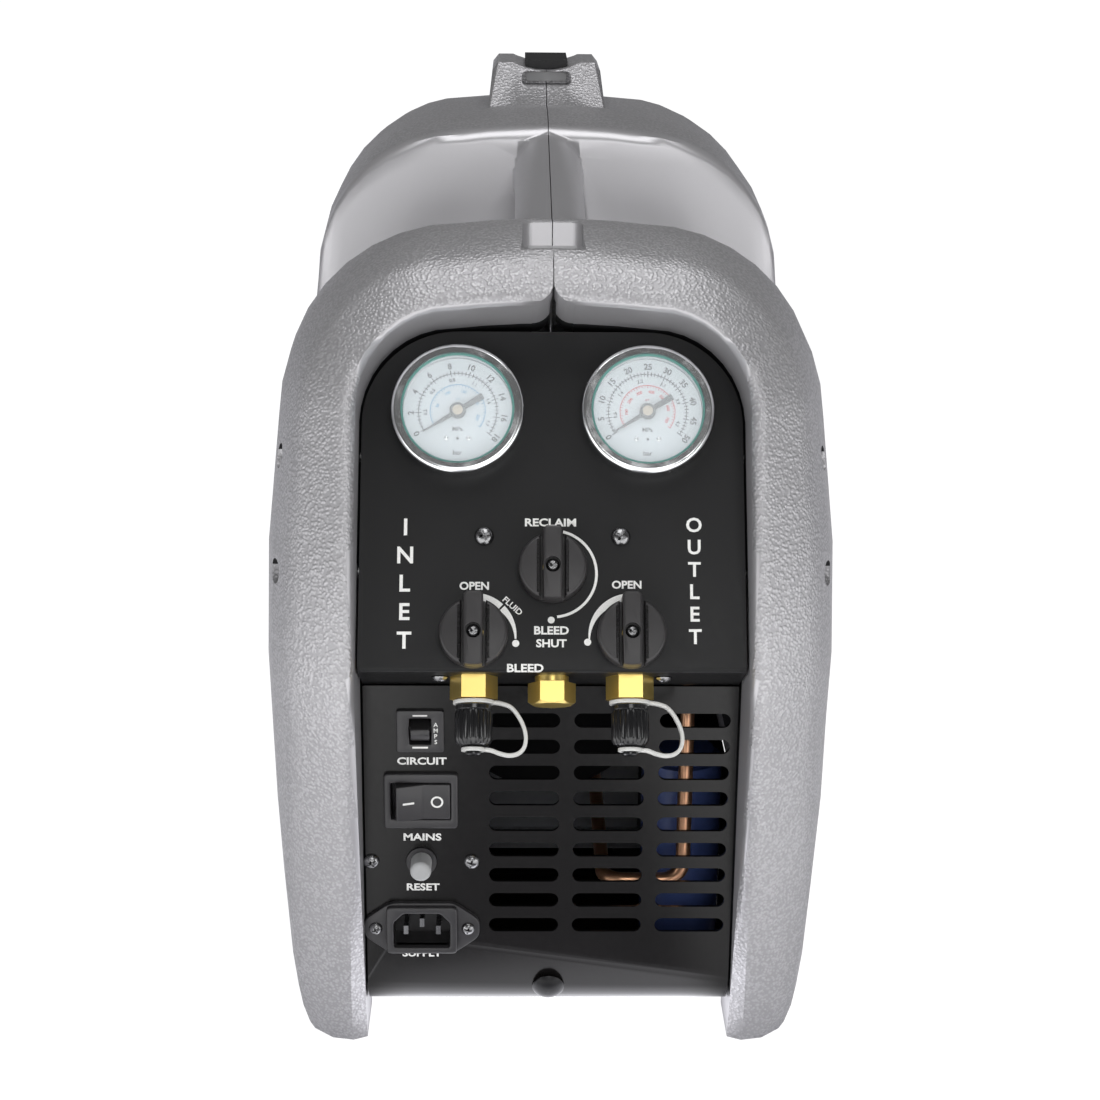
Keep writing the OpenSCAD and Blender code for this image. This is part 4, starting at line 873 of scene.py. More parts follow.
def make_finish(name):
    """Makes a finish by its name, from the colours in the settings."""
    hue = bpy.context.scene.machine_colours
    steel = (0.56, 0.57, 0.59, 1.0)
    makers = {
        "shell_grain": lambda: grained_shell(name, hue.shell, 1.3, 0.2),
        # Near-black painted shade for faces inside the machine, where little light reaches; not a real
        # lining.
        "lining_dark": lambda: moulded(name, (0.012, 0.012, 0.013), 0.8, 0.1, 1.0, 0.05, gloss=0.2),
        "panel_satin": lambda: moulded(name, hue.panel, 0.4, 0.08, 0.45, 0.006, gloss=0.22),
        "pan_satin": lambda: moulded(name, hue.pan, 0.2, 0.08, 0.5, 0.003, gloss=0.32),
        "rear_satin": lambda: moulded(name, hue.pan, 0.5, 0.08, 0.6, 0.012),
        "knob_satin": lambda: moulded(name, hue.knob, 0.42, 0.1, 0.35, 0.01),
        "cap_gloss": lambda: moulded(name, hue.cap, 0.2, 0.1, 1.5, 0.006, coat=0.3),
        "tether_soft": lambda: moulded(name, hue.tether, 0.48, 0.06, 0.8, 0.01),
        "switch_satin": lambda: moulded(name, hue.switch, 0.34, 0.1, 0.4, 0.008),
        "bolt_black": lambda: moulded(name, (0.008, 0.008, 0.009), 0.34, 0.1, 0.6, 0.01, gloss=0.25),
        "button_matt": lambda: moulded(name, hue.button, 0.5, 0.06, 0.6, 0.012),
        "saddle_rubber": lambda: moulded(name, (0.012, 0.012, 0.013), 0.72, 0.15, 0.6, 0.03),
        "clip_plastic": lambda: moulded(name, (0.36, 0.355, 0.36), 0.4, 0.06, 0.8, 0.012),
        "pointer_black": lambda: moulded(name, (0.015, 0.015, 0.017), 0.4, 0.1, 0.5, 0.004),
        "hub_cream": lambda: moulded(name, (0.62, 0.52, 0.38), 0.45, 0.08, 0.5, 0.006),
        "dial_face": lambda: moulded(name, hue.dial, 0.55, 0.02, 0.3, 0.002),
        "gasket": lambda: moulded(name, (0.1, 0.26, 0.23), 0.5, 0.12, 0.5, 0.01),
        "motor_paint": lambda: moulded(name, (0.02, 0.026, 0.036), 0.4, 0.1, 0.9, 0.02),
        "base_paint": lambda: moulded(name, (0.03, 0.031, 0.034), 0.5, 0.1, 0.9, 0.02),
        "fan_plastic": lambda: moulded(name, (0.02, 0.02, 0.022), 0.45, 0.1, 0.7, 0.01),
        # The capacitor's own blue, darkened to near black as painted shade for its place behind the slots.
        "capacitor_blue": lambda: moulded(name, (0.001, 0.0015, 0.009), 0.5, 0.1, 0.9, 0.01, gloss=0.2),
        "bezel_steel": lambda: bare_metal(
            name, (0.78, 0.79, 0.8, 1), (0.6, 0.61, 0.62, 1), 0.14, depth=0.002
        ),
        "screw_steel": lambda: bare_metal(name, (0.26, 0.26, 0.265, 1), (0.09, 0.09, 0.09, 1), 0.22),
        "pin_steel": lambda: bare_metal(name, (0.8, 0.8, 0.8, 1), steel, 0.2, (1, 8, 1)),
        "brass": lambda: bare_metal(name, hue.brass, (0.45, 0.26, 0.08, 1), 0.2, (1, 1, 5)),
        "copper": lambda: bare_metal(name, (0.36, 0.14, 0.07, 1), (0.2, 0.08, 0.04, 1), 0.34),
        # Cast alloy darkened to near black as painted shade, for the dark inside behind the slots.
        "cast_alloy": lambda: bare_metal(
            name, (0.035, 0.035, 0.038, 1), (0.02, 0.02, 0.02, 1), 0.5, depth=0.05
        ),
        "window": lambda: clear_window(name),
        "print_white": lambda: printed(name, (0.82, 0.82, 0.8, 1)),
        "print_black": lambda: printed(name, (0.02, 0.02, 0.025, 1)),
        "print_red": lambda: printed(name, (0.72, 0.05, 0.05, 1)),
        "print_blue": lambda: printed(name, (0.16, 0.42, 0.68, 1)),
        "floor_pale": lambda: plain_floor(name, bpy.context.scene.machine_stage.floor),
    }
    return makers[name]()


def finish(name):
    """The finish of that name, made when it is first asked for."""
    return bpy.data.materials.get(name) or make_finish(name)


# Settings


def colour_setting(name, description, default):
    """A colour that a user would change."""
    return FloatVectorProperty(
        name=name, description=description, default=default, subtype="COLOR", size=4, min=0.0, max=1.0
    )


def length_setting(name, description, millimetres):
    """A length that a user would change."""
    return FloatProperty(
        name=name, description=description, default=millimetres * MM, unit="LENGTH", min=0.0, precision=5
    )


def power_setting(name, description, watts):
    """A light's power that a user would change."""
    return FloatProperty(name=name, description=description, default=watts, unit="POWER")


class MachineColours(bpy.types.PropertyGroup):
    """Colours of the machine's finishes."""

    shell: colour_setting("Shell", "Moulded half shells", (0.42, 0.415, 0.43, 1))
    panel: colour_setting("Control panel", "Satin paint of the control panel", (0.009, 0.009, 0.0095, 1))
    pan: colour_setting("Base pan", "Satin paint of the lower panel", (0.006, 0.0055, 0.0054, 1))
    knob: colour_setting("Knobs", "Moulded valve knobs", (0.024, 0.0225, 0.0235, 1))
    cap: colour_setting("Dust caps", "Glossy ribbed caps", (0.008, 0.008, 0.009, 1))
    tether: colour_setting("Tethers", "Soft straps of the caps", (0.62, 0.62, 0.6, 1))
    switch: colour_setting("Switches", "Switch bodies, rocker and inlet", (0.03, 0.029, 0.031, 1))
    button: colour_setting("Reset button", "Matt push button", (0.36, 0.365, 0.37, 1))
    brass: colour_setting("Brass", "Hose ports", (0.72, 0.53, 0.21, 1))
    dial: colour_setting("Dial", "Faces of the gauges", (0.76, 0.82, 0.86, 1))


class MachineSizes(bpy.types.PropertyGroup):
    """Sizes of the detail on the machine."""

    fold: length_setting("Fold radius", "Bend at the control panel's lower edge", 2.2)
    letter: length_setting("Letter height", "Capital letters on the panels", 3.4)
    small_letter: length_setting("Small letter height", "Small capitals on the panels", 2.5)
    side_letter: length_setting("Side letter height", "Letters of the words at the panel's sides", 7.0)
    knob_disc: length_setting("Knob disc", "Height of a knob's disc", 9.6)
    knob_groove: length_setting("Knob groove", "Width of the grooves beside the grip bar", 1.1)
    dial_number: length_setting("Dial number", "Height of the dial's main numbers", 2.7)
    small_number: length_setting("Small number", "Height of the dial's second numbers", 1.6)
    strap_width: length_setting("Strap width", "Width of a tether's strap", 4.0)
    strap_thick: length_setting("Strap thickness", "Thickness of a tether's strap", 1.6)


class MachineStage(bpy.types.PropertyGroup):
    """Floor, light and camera."""

    floor: colour_setting("Floor", "Pale floor", (0.92, 0.92, 0.92, 1))
    key: power_setting("Key light", "Power of the large light above", 15.0)
    side: power_setting("Side light", "Power of each side light", 3.0)
    front: power_setting("Front light", "Power of the front light", 9.0)
    sky: FloatProperty(name="Surround", description="Strength of the white surround", default=0.12)
    lens: FloatProperty(
        name="Lens", description="Focal length on a 36 mm sensor", default=72.0, unit="CAMERA"
    )


# Pieces


class MachineOperator:
    """What the operators share."""

    bl_options = {"REGISTER", "UNDO"}

    def execute(self, context):
        """Builds the pieces; a fault raises an error."""
        self.build(context.scene.machine_sizes)
        return {"FINISHED"}


class MACHINE_OT_shells(MachineOperator, bpy.types.Operator):
    """Half shells with their grain, the saddle pad and the seam clips"""

    bl_idname = "machine.shells"
    bl_label = "Half shells"

    # Sill in millimetres: width and length, bottom and top, middle across and along
    SILL_SIZE = (23.4, 360)
    SILL_HEIGHT = (14, 15.6)
    SILL_PLACE = (92.2, -14)
    # How far the foot is widened, in millimetres, by y, and its share by z
    FOOT_REACH = (
        (-0.140, 0.0), (-0.158, 1.0), (-0.174, 3.0), (-0.189, 6.5), (-0.195, 9.5), (-0.206, 13.0),
    )
    FOOT_SHARE = ((0.020, 1.0), (0.040, 0.8), (0.075, 0.5), (0.115, 0.2), (0.150, 0.0))
    FOOT_INSIDE = 0.0815
    FOOT_BLEND = 0.006

    def build(self, sizes):
        for side in ("right", "left"):
            shape = node_copy(side + "_shell", 0.05)
            self.mark_faces(shape)
            self.square_foot(shape)
            # The second finish is near-black painted shade, for the faces inside the machine.
            skin = piece(
                side + "_shell_skin", shape, ["shell_grain", "lining_dark"], "housing",
                [side + "_shell"], 30.0,
            )
            even_normals(skin)
            away = 1 if side == "right" else -1
            # A sill inside each foot in the near-black painted shade, closing the gap where the shell is open
            # below.
            sill = prism(box_outline(*self.SILL_SIZE, 1), *self.SILL_HEIGHT)
            across, along = self.SILL_PLACE
            placed(sill, Matrix.Scale(MM, 4) @ moved(away * across, along))
            piece(side + "_shell_sill", sill, ["lining_dark"], "housing")
        dress("saddle_pad", "saddle_rubber")
        dress("seam_clips", "clip_plastic")

    def square_foot(self, shape):
        """Fills out the front corner of the foot, which the solid rounds more than the real one."""
        for v in shape.verts:
            out = stepwise(self.FOOT_REACH, v.co.y) * stepwise(self.FOOT_SHARE, v.co.z)
            out *= min(1.0, max(0.0, (abs(v.co.x) - self.FOOT_INSIDE) / self.FOOT_BLEND))
            v.co.x += math.copysign(out * MM, v.co.x)

    def mark_faces(self, shape):
        """Grain on the outside; the walls of the openings are smooth.

        Faces that look inwards behind the panels get a near-black finish, painted shade for the dark inside."""
        edge = panel_edge()
        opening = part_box("control_panel")[1].x + 0.0025
        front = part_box("base_pan")[0].y
        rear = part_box("rear_panel")[1].y
        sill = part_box("base_pan")[0].z
        layer = shape.faces.layers.float.new("grain")

        def enclosed(spot):
            tilted = spot.z > edge.z
            behind = (spot - edge).dot(OUT_OF_PANEL) < 1e-6 if tilted else spot.y > front - 1e-6
            return behind and spot.y < rear and spot.z > sill - 1e-6

        for spot, across, whole in (
            (Vector((0, front, 0)), Vector((0, 1, 0)), False),
            (edge, OUT_OF_PANEL, False),
            (Vector((0, 0, sill)), Vector((0, 0, 1)), True),
        ):
            middles = [(f, f.calc_center_median()) for f in shape.faces]
            tunnel = [f for f, m in middles if whole or (abs(m.x) < opening and m.y < 0)]
            lines = {e for f in tunnel for e in f.edges}
            points = {v for f in tunnel for v in f.verts}
            bmesh.ops.bisect_plane(
                shape, geom=tunnel + list(lines) + list(points), plane_co=spot, plane_no=across, dist=1e-7
            )
        for face in shape.faces:
            middle = face.calc_center_median()
            x = abs(middle.x)
            inwards = Vector((-middle.x, 0, 0.15 - middle.z)).normalized().dot(face.normal) > 0.2
            in_opening = x < opening and middle.z < 0.345 and abs(middle.y) > 0.15
            in_pocket = x < 0.0135 and 0.3405 < middle.z < 0.3505 and -0.156 < middle.y < -0.13
            face[layer] = 0.0 if (in_opening and inwards) or in_pocket else 1.0
            under_handle = -0.118 < middle.y < 0.004 and middle.z > 0.268
            if inwards and not under_handle and all(enclosed(v.co) for v in face.verts):
                face.material_index = 1


class MACHINE_OT_panels(MachineOperator, bpy.types.Operator):
    """Control panel with its folded edge, base pan and rear panel"""

    bl_idname = "machine.panels"
    bl_label = "Panels"

    # The pan's front bend in the solid and here, how high its centre is here, and the bolt's angles on it
    SOLID_BEND = 0.030
    BEND = 0.020
    BEND_HEIGHT = 0.011
    SOLID_BOLT = 45
    BOLT = 20

    def build(self, sizes):
        shape = node_copy("control_panel")
        edge = panel_edge()
        fold = []
        for side in shape.edges:
            ends = [v.co - edge for v in side.verts]
            if all(abs(p.y) < 2e-5 and abs(p.z) < 2e-5 for p in ends):
                fold.append(side)
        if not fold:
            raise RuntimeError("the control panel has no lower edge to fold")
        bmesh.ops.bevel(
            shape, geom=fold, offset=sizes.fold, offset_type="OFFSET", segments=5, profile=0.5, affect="EDGES"
        )
        piece("control_panel_sheet", shape, ["panel_satin"], "housing", ["control_panel"])
        self.pan()
        dress("rear_panel", "rear_satin")
        dress("valve_block", "base_paint")

    def pan(self):
        """Base pan whose front bend is tighter and reaches lower than the solid's, and its bolt."""
        shape = node_copy("base_pan")
        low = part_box("base_pan")[0]
        old = Vector((0, low.y + self.SOLID_BEND, low.z + self.SOLID_BEND))
        new = Vector((0, low.y + self.BEND, low.z + self.BEND_HEIGHT))
        bmesh.ops.bisect_plane(
            shape, geom=list(shape.verts) + list(shape.edges) + list(shape.faces),
            plane_co=(0, old.y + 0.0005, 0), plane_no=(0, 1, 0), dist=1e-7,
        )
        inlet = node_middle("inlet_socket").x
        for v in shape.verts:
            at_inlet = abs(v.co.x - inlet) < 0.016 and v.co.z > low.z + 0.022
            if v.co.y < old.y + 1e-5 and v.co.z < old.z + 1e-5 and not at_inlet:
                away = Vector((0, v.co.y - old.y, v.co.z - old.z))
                bent = new + away.normalized() * (away.length + self.BEND - self.SOLID_BEND)
                v.co.yz = bent.yz
        piece("base_pan_sheet", shape, ["pan_satin"], "housing", ["base_pan"])
        bolt = node_copy("base_bolt")
        was = old - Vector((0, *polar(self.SOLID_BEND, self.SOLID_BOLT)))
        now = new - Vector((0, *polar(self.BEND, self.BOLT)))
        turn = turned(self.BOLT - self.SOLID_BOLT, "X")
        bolt.transform(Matrix.Translation(now) @ turn @ Matrix.Translation(-was))
        piece("base_bolt_head", bolt, ["bolt_black"], "housing", ["base_bolt"])


class MACHINE_OT_gauges(MachineOperator, bpy.types.Operator):
    """Gauges: steel cases, printed dials, needles with hubs, gaskets and windows"""

    bl_idname = "machine.gauges"
    bl_label = "Gauges"

    # Millimetres: the dial's height over the joint, the print's thickness, and the radii of the scales
    FACE = 3.8
    INK = 0.06
    NUMBERS, ARC, TENTHS = 19.4, 16.2, 13.4
    INNER_ARC, INNER_TICKS, INNER_NUMBERS = 11.4, 10.9, 8.7
    SCALES = {
        "input": dict(
            first=210.0, last=-36.6, top=18, step=2, minor=5, tint="print_blue", inner=(50, 250, 50)
        ),
        "output": dict(
            first=214.0, last=-36.0, top=50, step=5, minor=5, tint="print_red", inner=(100, 700, 100)
        ),
    }

    def build(self, sizes):
        ticks = tick_pattern()
        for side, joint in GAUGES.items():
            place = panel_frame(joint_spot(joint))
            self.print_dial(side, place, ticks, sizes)
            self.needle(side, place)
            seal = ring_lathe([(22.5, 8.7), (23.35, 8.7), (23.35, 9.3), (22.9, 9.3)])
            piece(side + "_gauge_gasket", placed(seal, place), ["gasket"], "housing")
            dress(side + "_gauge_case", "bezel_steel")
            dress(side + "_gauge_dial", "dial_face")
            dress(side + "_gauge_window", "window")

    def numbers(self, scale, values, radius, height, span):
        """Numbers round the dial, their feet to the middle."""
        made = []
        sweep = scale["last"] - scale["first"]
        for text, value in values:
            angle = scale["first"] + sweep * value / span
            made.append(lettering(text, height, polar(radius, angle), angle - 90, bold=0.035, low=0.0))
        return made

    def ticks(self, tree, count, first, last, radius, length, width, every, factor):
        """Ticks from a first to a last angle, both of them long."""
        mesh = bpy.data.meshes.new("carrier")
        step = (first - last) / (count - 1)
        return tree.bake(
            mesh,
            {
                "Count": count,
                "First angle": math.radians(first),
                "Step": math.radians(step),
                "Radius": radius,
                "Length": length,
                "Width": width,
                "Long every": float(every),
                "Long factor": factor,
                "Material": finish("print_black"),
            },
        )

    def print_dial(self, side, place, tree, sizes):
        """Black scale with its numbers and units, and the tinted inner scale."""
        scale = self.SCALES[side]
        first, last = scale["first"], scale["last"]
        main = sizes.dial_number / MM
        small = sizes.small_number / MM
        span = scale["top"]
        divisions = span // scale["step"]
        face = place @ moved(0, 0, self.FACE)
        black = self.numbers(
            scale, [(str(v), v) for v in range(0, span + 1, scale["step"])], self.NUMBERS, main, span
        )
        minor = scale["minor"]
        black.append(self.ticks(tree, divisions * minor + 1, first, last, self.ARC, 1.7, 0.42, minor, 1.6))
        black.append(arc_strip((0, 0), self.ARC, first, last, [0.32, 0.32], 0, self.INK, 90))
        tenths = [("%.1f" % (v * span / 180), v * span / 18) for v in range(2, 18, 3)]
        black += self.numbers(scale, tenths, self.TENTHS, small, span)
        black.append(lettering("MPa", 1.9, (0, -7.6), bold=0.02, low=0.0))
        black.append(lettering("bar", 2.1, (0, -17.6), bold=0.02, low=0.0))
        black.append(placed(prism(round_outline(1.2, 20), 0, self.INK), moved(0, -11.6)))
        tint = [arc_strip((0, 0), self.INNER_ARC, first, last, [0.34, 0.34], 0, self.INK, 80)]
        tint.append(self.ticks(tree, divisions * 4 + 1, first, last, self.INNER_TICKS, 0.9, 0.3, 4, 1.6))
        low, high, step = scale["inner"]
        values = [(str(v), v * span / (high + step * 0.4)) for v in range(low, high + 1, step)]
        tint += self.numbers(scale, values, self.INNER_NUMBERS, small * 0.85, span)
        tint.append(lettering("psi", 1.3, (0, 5.2), low=0.0))
        piece(side + "_dial_scale", placed(joined(black), face), ["print_black"], "housing")
        piece(
            side + "_dial_inner_scale", placed(joined(tint), face), [scale["tint"]], "housing"
        )
        rivets = [
            placed(lathe([(0, 0), (1.0, 0), (1.0, 0.2), (0.6, 0.5), (0, 0.55)], 20), face @ moved(x, -11.6))
            for x in (-4.6, 4.6)
        ]
        piece(side + "_dial_rivets", joined(rivets), ["pin_steel"], "housing")

    def needle(self, side, place):
        """Tapered pointer with a broad tail on a domed hub."""
        rest = place @ moved(0, 0, self.FACE + 0.5) @ turned(212)
        pointer = [
            (-12.2, -1.35), (-3, -1.0), (0, -1.05), (16.8, -0.22),
            (16.8, 0.22), (0, 1.05), (-3, 1.0), (-12.2, 1.35),
        ]
        parts = [placed(prism(filleted(pointer, 0.3), 0, 0.7, 0.15), rest)]
        hub = lathe([(0, 0.05), (3.4, 0.05), (3.4, 1.2), (3.0, 1.7), (2.3, 1.8), (0, 1.8)], 40)
        parts.append(placed(hub, rest))
        button = lathe([(0, 1.7), (2.1, 1.7), (2.1, 2.0), (1.7, 2.3), (0, 2.4)], 32)
        parts.append(placed(button, rest, 1))
        piece(
            side + "_needle_pointer",
            joined(parts),
            ["pointer_black", "hub_cream"],
            side + "_pointer",
            [side + "_needle"],
        )


class MACHINE_OT_knobs(MachineOperator, bpy.types.Operator):
    """Valve knobs: a grooved disc, a grip bar that points, and the well for its screw"""

    bl_idname = "machine.knobs"
    bl_label = "Valve knobs"

    def build(self, sizes):
        for valve in VALVES:
            low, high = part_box(valve + "_knob")
            radius = (high.x - low.x) / 2 / MM
            place = panel_frame(joint_spot(valve + "_valve_turn"))
            self.knob(valve, place, radius, sizes)
            dress(valve + "_stem", "brass")

    def knob(self, valve, place, radius, sizes):
        """Low disc, two raised segments and the grip bar with a well for the screw."""
        bar, top, well = 3.9, 12.8, 9.9
        disc = sizes.knob_disc / MM
        chord = bar + sizes.knob_groove / MM
        parts = [lathe([(0, 0.4), (radius - 0.4, 0.4), (radius, 0.8), (radius, 4.0), (0, 4.0)], 72)]
        reach = math.degrees(math.acos(chord / radius))
        for turn in (0, 180):
            arc = [polar(radius, a) for a in (-reach + 2 * reach * k / 30 for k in range(31))]
            parts.append(placed(prism(arc, 3.5, disc, 1.5, steps=4), turned(turn)))
        tip = radius + 2.2
        sole = [polar(radius - 0.1, a) for a in (-90 - 15.5 + 31 * k / 8 for k in range(9))]
        outline = sole + [
            (bar, 0.0), (bar, tip - 1.2), (bar - 1.2, tip), (1.2 - bar, tip), (-bar, tip - 1.2), (-bar, 0.0),
        ]
        grip = prism(outline, 0.45, top, 0.9, steps=3)
        hole = prism(round_outline(6.4, 40), well, top + 3)
        parts.append(cut_away(grip, hole))
        for part in parts:
            part.transform(place)
        piece(
            valve + "_knob_grip",
            joined(parts),
            ["knob_satin"],
            valve + "_valve",
            [valve + "_knob"],
            30.0,
        )


class MACHINE_OT_ports(MachineOperator, bpy.types.Operator):
    """Hose ports in brass, ribbed dust caps, and their tethers"""

    bl_idname = "machine.ports"
    bl_label = "Hose ports"

    def build(self, sizes):
        for side in ("input", "output"):
            place = port_frame(side + "_cap_turn")
            self.cap(side, place)
            self.tether(side, place, sizes)
            dress(side + "_port", "brass")
        dress("purge_port", "brass")
        dress("purge_cap", "brass")

    def cap(self, side, place):
        """Cap with rounded ribs, a plain collar and the nub of the tether."""
        profile = [
            (0, 12.2), (5.9, 12.2), (5.9, 11.8), (7.3, 11.8), (7.6, 12.1), (7.6, 13.6), (7.2, 14.0),
            (7.15, 14.4, 0.2), (7.15, 15.2, 1), (7.15, 25.4, 1), (7.0, 26.6, 0.9), (6.4, 27.9, 0.5),
            (5.2, 28.6, 0), (2.5, 28.8), (2.5, 31.0), (3.4, 31.2), (3.4, 31.9), (2.8, 32.35), (0, 32.4),
        ]
        shape = lathe(profile, 144, 18, 0.65)
        piece(
            side + "_cap_ribbed", placed(shape, place), ["cap_gloss"], side + "_dust_cap",
            [side + "_cap"],
        )

    def tether(self, side, place, sizes):
        """Ring under the port's hexagon, a strap hanging in a loop, and a ring on the nub."""
        thick = sizes.strap_thick / MM
        width = sizes.strap_width / MM
        low, high = 9.85, 29.2
        parts = []
        for inner, outer, z, count in ((5.9, 8.5, low, 64), (2.95, 5.0, high, 40)):
            section = [(inner, z), (outer, z), (outer, z + thick), (inner, z + thick)]
            parts.append(ring_lathe(filleted(section, 0.4), count))
        middle = thick / 2
        loop = smooth_path(
            [
                (7.2, low + middle), (11.0, low + middle + 0.4), (15.5, low + 3.0), (19.2, low + 8.0),
                (21.2, low + 13.5), (21.0, low + 18.5), (18.6, low + 21.6), (14.6, high + 3.2),
                (10.6, high + 2.4), (7.4, high + 1.2), (4.4, high + middle),
            ]
        )
        parts.append(ribbon(loop, width, thick))
        piece(
            side + "_tether_strap", placed(joined(parts), place), ["tether_soft"], "housing",
            [side + "_tether"],
        )


class MACHINE_OT_switches(MachineOperator, bpy.types.Operator):
    """Breaker, power rocker and reset button on the lower panel"""

    bl_idname = "machine.switches"
    bl_label = "Switches"

    def build(self, sizes):
        self.breaker()
        self.power()
        dress("reset_switch", "switch_satin")
        dress("reset_button", "button_matt")

    def breaker(self):
        """Breaker's frame round its well, two marks, and the paddle on its pin."""
        spot = joint_spot("breaker_rock")
        place = front_frame(spot.x, spot.z)
        mouth = box_outline(9.2, 11.7, 0.6)
        frame_part = rim(box_outline(20, 19, 1.2), mouth, 0, 1.8, 0.5)
        body = rim(box_outline(17, 15.5, 0.5), mouth, -22, 0.2, 0.05, floor=-10)
        marks = [
            placed(prism(box_outline(6.2, 0.7, 0.2), 1.8, 1.86), place @ moved(0, 7.3)),
            placed(prism(box_outline(6.6, 0.8, 0.2), 1.8, 1.86), place @ moved(0, -7.2)),
        ]
        piece(
            "breaker_housing", joined([placed(frame_part, place), placed(body, place)]), ["switch_satin"],
            "housing", ["breaker_body"],
        )
        piece("breaker_marks", joined(marks), ["print_white"], "housing")
        pivot = place @ moved(0, 0, -3)
        side_view = filleted([(-3.2, -3), (3.2, -3), (3.2, 6.4), (1.0, 7.2), (-1.6, 6.6), (-3.2, 5.2)], 0.7)
        paddle = placed(prism(side_view, -4, 4, 0.4, both=True), turned(90, "Y") @ turned(90, "Z"))
        pin = placed(prism(round_outline(2.4, 24), -5.5, 5.5), turned(90, "Y"))
        paddle.transform(turned(12, "X"))
        lever = placed(joined([paddle, pin]), pivot)
        bmesh.ops.recalc_face_normals(lever, faces=lever.faces)
        piece(
            "breaker_lever_paddle", lever, ["switch_satin"], "breaker_lever",
            ["breaker_paddle"],
        )

    def power(self):
        """Power switch's bezel round its well, and the rocker with its two marks."""
        spot = joint_spot("power_rock")
        place = front_frame(spot.x, spot.z)
        mouth = box_outline(25.4, 16.8, 0.6)
        bezel = rim(box_outline(31.6, 25.4, 2.0), mouth, 0, 2.2, 0.8)
        body = rim(box_outline(27, 21, 0.5), mouth, -20, 0.2, 0.05, floor=-10.5)
        piece(
            "power_bezel", joined([placed(bezel, place), placed(body, place)]), ["switch_satin"],
            "housing", ["power_switch_body"],
        )
        half, rise, crest = 11.6, 1.84, 5.6
        side_view = filleted(
            [
                (-half, 1), (-4, -4), (4, -4), (half, 1),
                (half, crest + rise), (0, crest), (-half, crest + rise),
            ],
            0.9,
        )
        tip = place @ moved(0, 0, -3) @ turned(9, "Y")
        rocker = placed(prism(side_view, -8, 8, 0.5, both=True), turned(90, "X"))
        pin = placed(prism(round_outline(3, 24), -9.2, 9.2), turned(90, "X"))
        lever = placed(joined([rocker, pin]), tip)
        bmesh.ops.recalc_face_normals(lever, faces=lever.faces)
        piece("power_rocker_cap", lever, ["switch_satin"], "power_lever", ["power_rocker"])
        slope = math.degrees(math.atan2(rise, half))
        left = tip @ moved(-6.2, 0, crest + rise * 6.2 / half) @ turned(slope, "Y")
        right = tip @ moved(6.0, 0, crest + rise * 6.0 / half) @ turned(-slope, "Y")
        dash = placed(prism(box_outline(5.0, 0.9, 0.2), 0.01, 0.07), left)
        ring = placed(rim(round_outline(5.3), round_outline(3.7), 0.01, 0.07, 0.01), right)
        piece("power_rocker_marks", joined([dash, ring]), ["print_white"], "power_lever")


class MACHINE_OT_inlet(MachineOperator, bpy.types.Operator):
    """Mains inlet: flange with tapered ends, proud frame round a well, and pins"""

    bl_idname = "machine.inlet"
    bl_label = "Mains inlet"

    def build(self, sizes):
        middle = node_middle("inlet_socket")
        place = front_frame(middle.x, middle.z)
        flange = filleted(
            [(-25, -4), (-14, -12), (14, -12), (25, -4), (25, 4), (14, 12), (-14, 12), (-25, 4)], 3.0
        )
        well = filleted(
            [(-12.2, -8.2), (12.2, -8.2), (12.2, 3.8), (7.8, 8.2), (-7.8, 8.2), (-12.2, 3.8)], 1.0
        )
        count = 120
        mouth = swept_round(well, count)
        flat = rim(swept_round(flange, count), mouth, 0, 2.4, 0.5)
        collar = rim(swept_round(box_outline(30.5, 22, 1.8), count), mouth, 0, 5.0, 0.7)
        body = rim(swept_round(box_outline(27, 19.6, 0.5), count), mouth, -19, 0.2, 0.05, floor=-11)
        parts = [placed(each, place) for each in (flat, collar, body)]
        piece("inlet_shroud", joined(parts), ["switch_satin"], "housing", ["inlet_socket"])
        dress("inlet_pins", "screw_steel")


class MACHINE_OT_screws(MachineOperator, bpy.types.Operator):
    """Cross-head screws of the panels, the switches, the inlet, the shells and the knobs"""

    bl_idname = "machine.screws"
    bl_label = "Cross-head screws"

    def build(self, sizes):
        tree = screw_pattern()
        edge = panel_frame(panel_edge())
        depth = moved(0, 0, -(joint_spot("purge_cap_turn") - panel_edge()).length / MM)
        down = edge @ depth @ turned(90, "X")
        face = [(edge @ moved(x, 56, 0) @ turned(turn), 8.0) for x, turn in ((-28, 20), (28, 65))]
        heads = {"control_panel": face + [(down @ moved(x), 7.0) for x in (-46, 46)]}
        for node, size, proud in (("reset_switch", 7.0, 0.0), ("inlet_socket", 5.8, 2.4)):
            low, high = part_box(node + "_screws")
            middle = (low + high) / 2
            reach = (high.x - low.x) / 2 / MM - size / 2
            place = front_frame(middle.x, middle.z)
            heads[node] = [
                (place @ moved(x * reach, 0, proud) @ turned(turn), size) for x, turn in ((-1, 30), (1, 75))
            ]
        for owner, spots in heads.items():
            self.screws(tree, owner + "_cross_screws", spots, "housing", [owner + "_screws"])
        for valve in VALVES:
            place = panel_frame(joint_spot(valve + "_valve_turn"))
            self.screws(
                tree, valve + "_knob_cross_screw", [(place @ moved(0, 0, 9.9), 5.6)], valve + "_valve",
                [valve + "_knob_screw"],
            )
        dress("side_screws", "screw_steel")

    def screws(self, tree, name, spots, body, replaced):
        """One piece of screws; a spot is a frame and a head's diameter."""
        mesh = bpy.data.meshes.new("carrier")
        mesh.from_pydata([spot.translation for spot, _ in spots], [], [])
        mesh.attributes.new("turn", "FLOAT_VECTOR", "POINT")
        mesh.attributes.new("size", "FLOAT", "POINT")
        for i, (spot, diameter) in enumerate(spots):
            mesh.attributes["turn"].data[i].vector = spot.to_3x3().normalized().to_euler()
            mesh.attributes["size"].data[i].value = diameter * MM
        shape = tree.bake(
            mesh,
            {"Dome height": 0.34, "Slot width": 0.13, "Slot length": 0.6, "Material": finish("screw_steel")},
        )
        piece(name, shape, ["screw_steel"], body, replaced)


